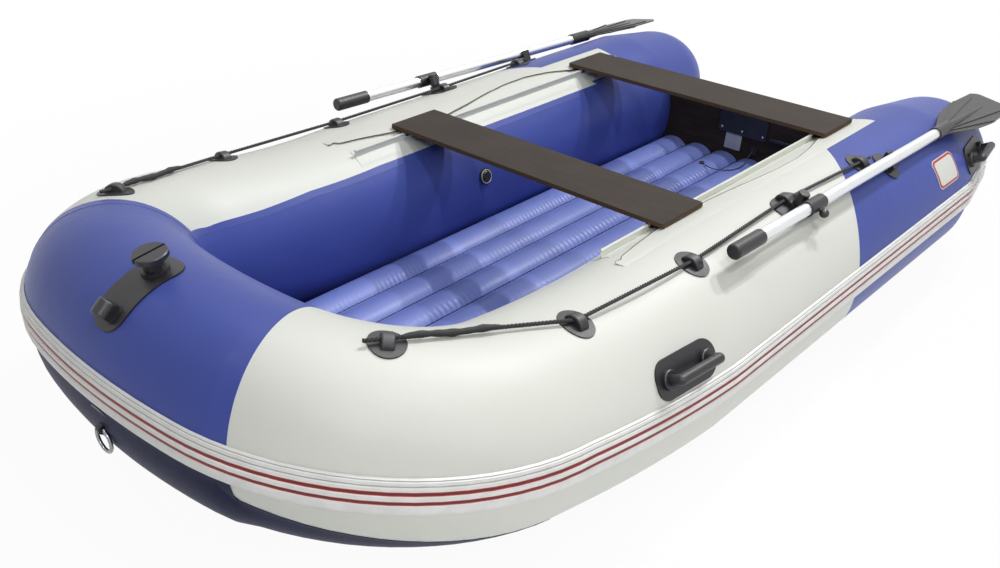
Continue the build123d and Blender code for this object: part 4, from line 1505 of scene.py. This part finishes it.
@dataclass
class GrabLine:
    """Three-strand line through the guides on one side."""

    places: tuple[tuple[float, float], ...] = (
        (1.0725, 88.0), (0.7007, 75.0), (0.30173, 73.0), (-0.13199, 75.162), (-0.51337, 70.0))
    up: float = 0.011
    tail: float = 0.046
    radius: float = 0.0046
    lay: float = 0.026
    core_share: float = 0.52
    strand_share: float = 0.5
    whip_from: float = 0.030
    whip_to: float = 0.235
    whip_r: float = 0.0074
    whip_pitch: float = 0.0058
    whip_sides: int = 14
    whip_root: float = 0.9
    whip_groove: float = 0.0009
    whip_sway: float = 0.0016
    strands: int = 3
    sides: int = 7

    def route(self, side: Side) -> list[Vector]:
        """Points the line runs through, from its bow end.

        Args:
            side: Side of the boat.

        Returns:
            The points.
        """
        points = []
        for x, angle in self.places:
            run = FORM.run_at_x(x)
            points.append(FORM.surface(side.value * run, angle, self.up))
        points.insert(0, points[0] + (points[0] - points[1]).normalized() * self.tail)
        points.append(points[-1] + (points[-1] - points[-2]).normalized() * self.tail)
        return points

    def build(self, side: Side, rope: bpy.types.Material) -> None:
        """Makes the line.

        Args:
            side: Side of the boat.
            rope: Its finish.
        """
        path = self._even(self.route(side))
        core, strand_r = self.radius * self.core_share, self.radius * self.strand_share
        strands = []
        for strand in range(self.strands):
            rows = []
            for i, (point, reach) in enumerate(path):
                ahead = path[min(i + 1, len(path) - 1)][0] - path[max(i - 1, 0)][0]
                turn = math.tau * (reach / self.lay + strand / self.strands)
                centre = point + self._ring(ahead, turn, core)
                rows.append([centre + self._ring(ahead, math.tau * k / self.sides, strand_r)
                             for k in range(self.sides)])
            name = side.named("line") if strand == 0 else f"strand_{strand}"
            strands.append(Skin(name, rows, sharp=180.0).build([rope]))
        deselect()
        for strand in strands:
            strand.select_set(True)
        bpy.context.view_layer.objects.active = strands[0]
        bpy.ops.object.join()
        settle(strands[0], side.named("grab_line"))
        self.whipping(side, rope)

    def _ring(self, ahead: Vector, turn: float, radius: float) -> Vector:
        """Offset from the line's middle, at an angle round its direction.

        Args:
            ahead: The line's direction.
            turn: The angle, in radians.
            radius: Length of the offset.

        Returns:
            The offset.
        """
        right = ahead.cross(Vector((0, 0, 1))).normalized()
        over = right.cross(ahead.normalized())
        return (right * math.cos(turn) + over * math.sin(turn)) * radius

    def whipping(self, side: Side, rope: bpy.types.Material) -> None:
        """The bulky stretch where the line's end is spliced back and bound, aft of its first guide.

        Args:
            side: Side of the boat.
            rope: Its finish.
        """
        points = self.route(side)
        start, ahead = points[1], (points[2] - points[1]).normalized()
        root = self.radius * self.whip_root
        rows = []
        steps = round((self.whip_to - self.whip_from) / self.whip_pitch) * 4
        for i in range(steps + 1):
            share = i / steps
            reach = self.whip_from + (self.whip_to - self.whip_from) * share
            ease = min(1.0, 6.0 * share, 5.0 * (1.0 - share)) ** 0.5
            swell = 1.0 + 0.10 * math.sin(share * 17.0) + 0.06 * math.sin(share * 41.0)
            row = []
            for k in range(self.whip_sides):
                turn = math.tau * k / self.whip_sides
                thread = self.whip_groove * abs(math.sin(math.pi * (reach / self.whip_pitch) + turn))
                radius = root + (self.whip_r * swell - root) * ease - thread
                sway = self._ring(ahead, math.pi / 2, self.whip_sway * math.sin(share * 9.0))
                row.append(start + ahead * reach + sway + self._ring(ahead, turn, radius))
            rows.append(row)
        settle(Skin(side.named("line_splice"), rows, sharp=60.0).build([rope]))

    def _even(self, points: Sequence[Vector], step: float = 0.0026) -> list[tuple[Vector, float]]:
        """Evenly spaced points along the route, each with its distance from the start.

        Args:
            points: The route's corners.
            step: Distance between points.

        Returns:
            The points and distances.
        """
        found, reach = [], 0.0
        for a, b in zip(points, points[1:]):
            length = (b - a).length
            count = max(1, round(length / step))
            found += [(a.lerp(b, i / count), reach + length * i / count) for i in range(count)]
            reach += length
        return found + [(points[-1], reach)]


@dataclass
class DrainTether:
    """The limp cord that keeps the drain plug with the boat, tied to a tab on the floor."""

    route: tuple[tuple[float, float, float], ...] = (
        (-0.8407, -0.0459, 0.1840), (-0.8300, -0.0260, 0.1840), (-0.8240, 0.0020, 0.1840),
        (-0.8340, 0.0320, 0.1840), (-0.8560, 0.0540, 0.1840), (-0.8860, 0.0650, 0.1840),
        (-0.9180, 0.0650, 0.1840), (-0.9440, 0.0610, 0.1880), (-0.9630, 0.0600, 0.2060),
        (-0.9750, 0.0600, 0.2140), (-0.9888, 0.0600, 0.2153),
    )
    length: float = 0.256
    diameter: float = 0.0032

    def build(self, rope: bpy.types.Material) -> None:
        """Makes the cord.

        Args:
            rope: Its finish.
        """
        data = bpy.data.curves.new("drain_tether_cord", "CURVE")
        data.dimensions = "3D"
        data.resolution_u = 10
        data.bevel_depth = self.diameter / 2
        data.bevel_resolution = 3
        data.use_fill_caps = True
        spline = data.splines.new("NURBS")
        spline.points.add(len(self.route) - 1)
        for point, place in zip(spline.points, self.route):
            point.co = (*place, 1.0)
        spline.order_u = 3
        spline.use_endpoint_u = True
        data.materials.append(rope)
        piece = bpy.data.objects.new("drain_tether_cord", data)
        bpy.context.scene.collection.objects.link(piece)
        settle(piece, "drain_tether")


# ---- stage ----------------------------------------------------------------------------------


@dataclass
class Studio:
    """White floor, soft lamps and the camera."""

    place: tuple[float, float, float] = (2.079, 1.6466, 1.5669)
    azimuth: float = 132.12
    elevation: float = 29.63
    roll: float = 0.77
    lens: float = 36.68
    fill: float = 0.075
    spots: tuple[tuple[tuple[float, float, float], float], ...] = (
        ((-2.6, 0.5, 5.4), 100.0), ((-4.2, 0.9, 5.3), 118.0), ((0.9, 2.8, 5.3), 46.0),
        ((2.8, -0.8, 5.2), 26.0))
    spot_size: float = 0.12
    panels: tuple[tuple[str, tuple[float, float, float], float, float], ...] = (
        ("bow_panel", (3.0, 2.4, 3.0), 0.8, 38.0), ("port_panel", (0.9, 3.8, 2.1), 1.6, 22.0))
    sheen: tuple[str, tuple[float, float, float], float, float] = (
        "sheen_panel", (-0.6, 0.2, 3.8), 4.4, 165.0)
    aim: tuple[float, float, float] = (0.1, 0.0, 0.3)
    floor_share: float = 0.95
    floor_fade: tuple[float, float] = (1.2, 3.2)

    def build(self) -> None:
        """Sets up the floor, the lamps, the world and the camera."""
        self.floor()
        for number, (place, power) in enumerate(self.spots):
            self.lamp(f"overhead_{number}", place, self.spot_size, power)
        for panel in self.panels:
            self.lamp(*panel)
        self.lamp(*self.sheen).visible_diffuse = False
        self.world()
        self.camera()
        bpy.context.scene.view_settings.view_transform = "Standard"

    def floor(self) -> None:
        """A white floor that keeps shadows."""
        floor = begin("studio_floor", bpy.ops.mesh.primitive_circle_add, vertices=64, radius=30.0,
                      fill_type="NGON", location=(0, 0, -0.0005))
        s = Shader("studio_floor")
        s.shade(Base_Color=(0.95, 0.95, 0.95), Roughness=0.9, Specular_IOR_Level=0.0)
        glow = s.tree.nodes.new("ShaderNodeEmission")
        blend = s.tree.nodes.new("ShaderNodeMixShader")
        output = next(n for n in s.tree.nodes if n.type == "OUTPUT_MATERIAL")
        away = s.add("ShaderNodeVectorMath", {"operation": "LENGTH"}, {"Vector": s.place()}, "Value")
        near, far = self.floor_fade
        share = s.add("ShaderNodeMapRange", {"interpolation_type": "SMOOTHSTEP"}, {
            "Value": away, "From Min": near, "From Max": far, "To Min": self.floor_share, "To Max": 1.0})
        s.put(blend.inputs[0], self.seen(s) * share)
        s.tree.links.new(s.surface.outputs[0], blend.inputs[1])
        s.tree.links.new(glow.outputs[0], blend.inputs[2])
        s.tree.links.new(blend.outputs[0], output.inputs["Surface"])
        floor.data.materials.append(s.material)

    @staticmethod
    def seen(shader: Shader) -> Sock:
        """1 for a ray that the camera sends, straight or by a gloss or a clear piece.

        Args:
            shader: The shader that asks.

        Returns:
            The mask.
        """
        rays = shader.tree.nodes.new("ShaderNodeLightPath")
        kinds = ("Is Camera Ray", "Is Glossy Ray", "Is Transmission Ray")
        camera, gloss, clear = (Sock(shader, rays.outputs[kind]) for kind in kinds)
        return camera.apply("MAXIMUM", gloss).apply("MAXIMUM", clear)

    def lamp(self, name: str, place: tuple[float, float, float], size: float,
             power: float) -> bpy.types.Object:
        """A soft square lamp aimed at the boat.

        Args:
            name: Its name.
            place: Where it hangs.
            size: Its side.
            power: Watts.

        Returns:
            The lamp.
        """
        data = bpy.data.lights.new(name, "AREA")
        data.size = size
        data.energy = power
        lamp = bpy.data.objects.new(name, data)
        bpy.context.scene.collection.objects.link(lamp)
        lamp.location = place
        lamp.rotation_euler = (Vector(self.aim) - Vector(place)).to_track_quat("-Z", "Y").to_euler()
        return lamp

    def world(self) -> None:
        """Even light from all round, white behind the boat."""
        world = bpy.data.worlds.new("studio")
        bpy.context.scene.world = world
        world.use_nodes = True
        shader = Shader.on_tree(world.node_tree)
        level = shader.add("ShaderNodeMapRange", {}, {
            "Value": self.seen(shader), "To Min": self.fill, "To Max": 1.0})
        background = next(n for n in world.node_tree.nodes if n.type == "BACKGROUND")
        background.inputs["Color"].default_value = (1.0, 1.0, 1.0, 1.0)
        shader.put(background.inputs["Strength"], level)

    def camera(self) -> None:
        """The camera, level but for a small roll."""
        a, e, r = (math.radians(v) for v in (self.azimuth, self.elevation, self.roll))
        back = Vector((math.sin(a) * math.cos(e), -math.cos(a) * math.cos(e), math.sin(e)))
        level = Vector((0, 0, 1)).cross(back).normalized()
        over = back.cross(level)
        right = level * math.cos(r) + over * math.sin(r)
        up = over * math.cos(r) - level * math.sin(r)
        data = bpy.data.cameras.new("camera")
        data.lens = self.lens
        data.sensor_width = 36.0
        camera = bpy.data.objects.new("camera", data)
        bpy.context.scene.collection.objects.link(camera)
        turn = Matrix((right, up, back)).transposed().to_4x4()
        camera.matrix_world = Matrix.Translation(Vector(self.place)) @ turn
        bpy.context.scene.camera = camera


def dress_nodes(finishes: dict[Slot, bpy.types.Material]) -> None:
    """Gives every CAD node the finish of its slot.

    Args:
        finishes: A material for each slot.
    """
    slots = {entry["node"]: entry["material_slot"] for entry in frame["record"]["subparts"]}
    for name, node in NODES.items():
        node.data.materials.clear()
        node.data.materials.append(finishes[Slot(slots[name])])


def main() -> None:
    """Builds the boat and its studio."""
    logging.basicConfig(level=logging.INFO, format="%(name)s: %(message)s")
    Studio().build()
    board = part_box("front_seat")
    slots = {
        Slot.BLUE: BLUE.material(), Slot.WHITE: WHITE.material(), Slot.NAVY: NAVY.material(),
        Slot.STRAKE: STRAKE.material(), Slot.RUBBER: RUBBER.material(), Slot.PLASTIC: PLASTIC.material(),
        Slot.ROPE: ROPE.material(), Slot.ALUMINIUM: ALUMINIUM.material(), Slot.STEEL: STEEL.material(),
        Slot.PLYWOOD: PLYWOOD.material(board[0].z, board[1].z - board[0].z),
    }
    lit_deck, red, core, grey, edge_shadow, label = (
        finish.material() for finish in (LIT_DECK, STRAKE_RED, STRAKE_CORE, STRAKE_GREY, SKIRT_EDGE_SHADOW, LABEL))
    blue, white, navy, rope = slots[Slot.BLUE], slots[Slot.WHITE], slots[Slot.NAVY], slots[Slot.ROPE]
    dress_nodes(slots)
    DrainTether().build(rope)
    AirTubes().build(blue, white, navy)
    KeelBottom().build(navy)
    AirDeck().build(lit_deck, navy)
    RubStrake().build((slots[Slot.STRAKE], red, grey, core))
    trim = SmallTrim()
    trim.badges(white, red)
    trim.transom(label, slots[Slot.PLASTIC], slots[Slot.STEEL])
    trim.valve_glint_rims(white)
    for side in Side:
        SeatRail().build(side, white, edge_shadow)
        GrabLine().build(side, rope)


if __name__ == "__main__":
    main()
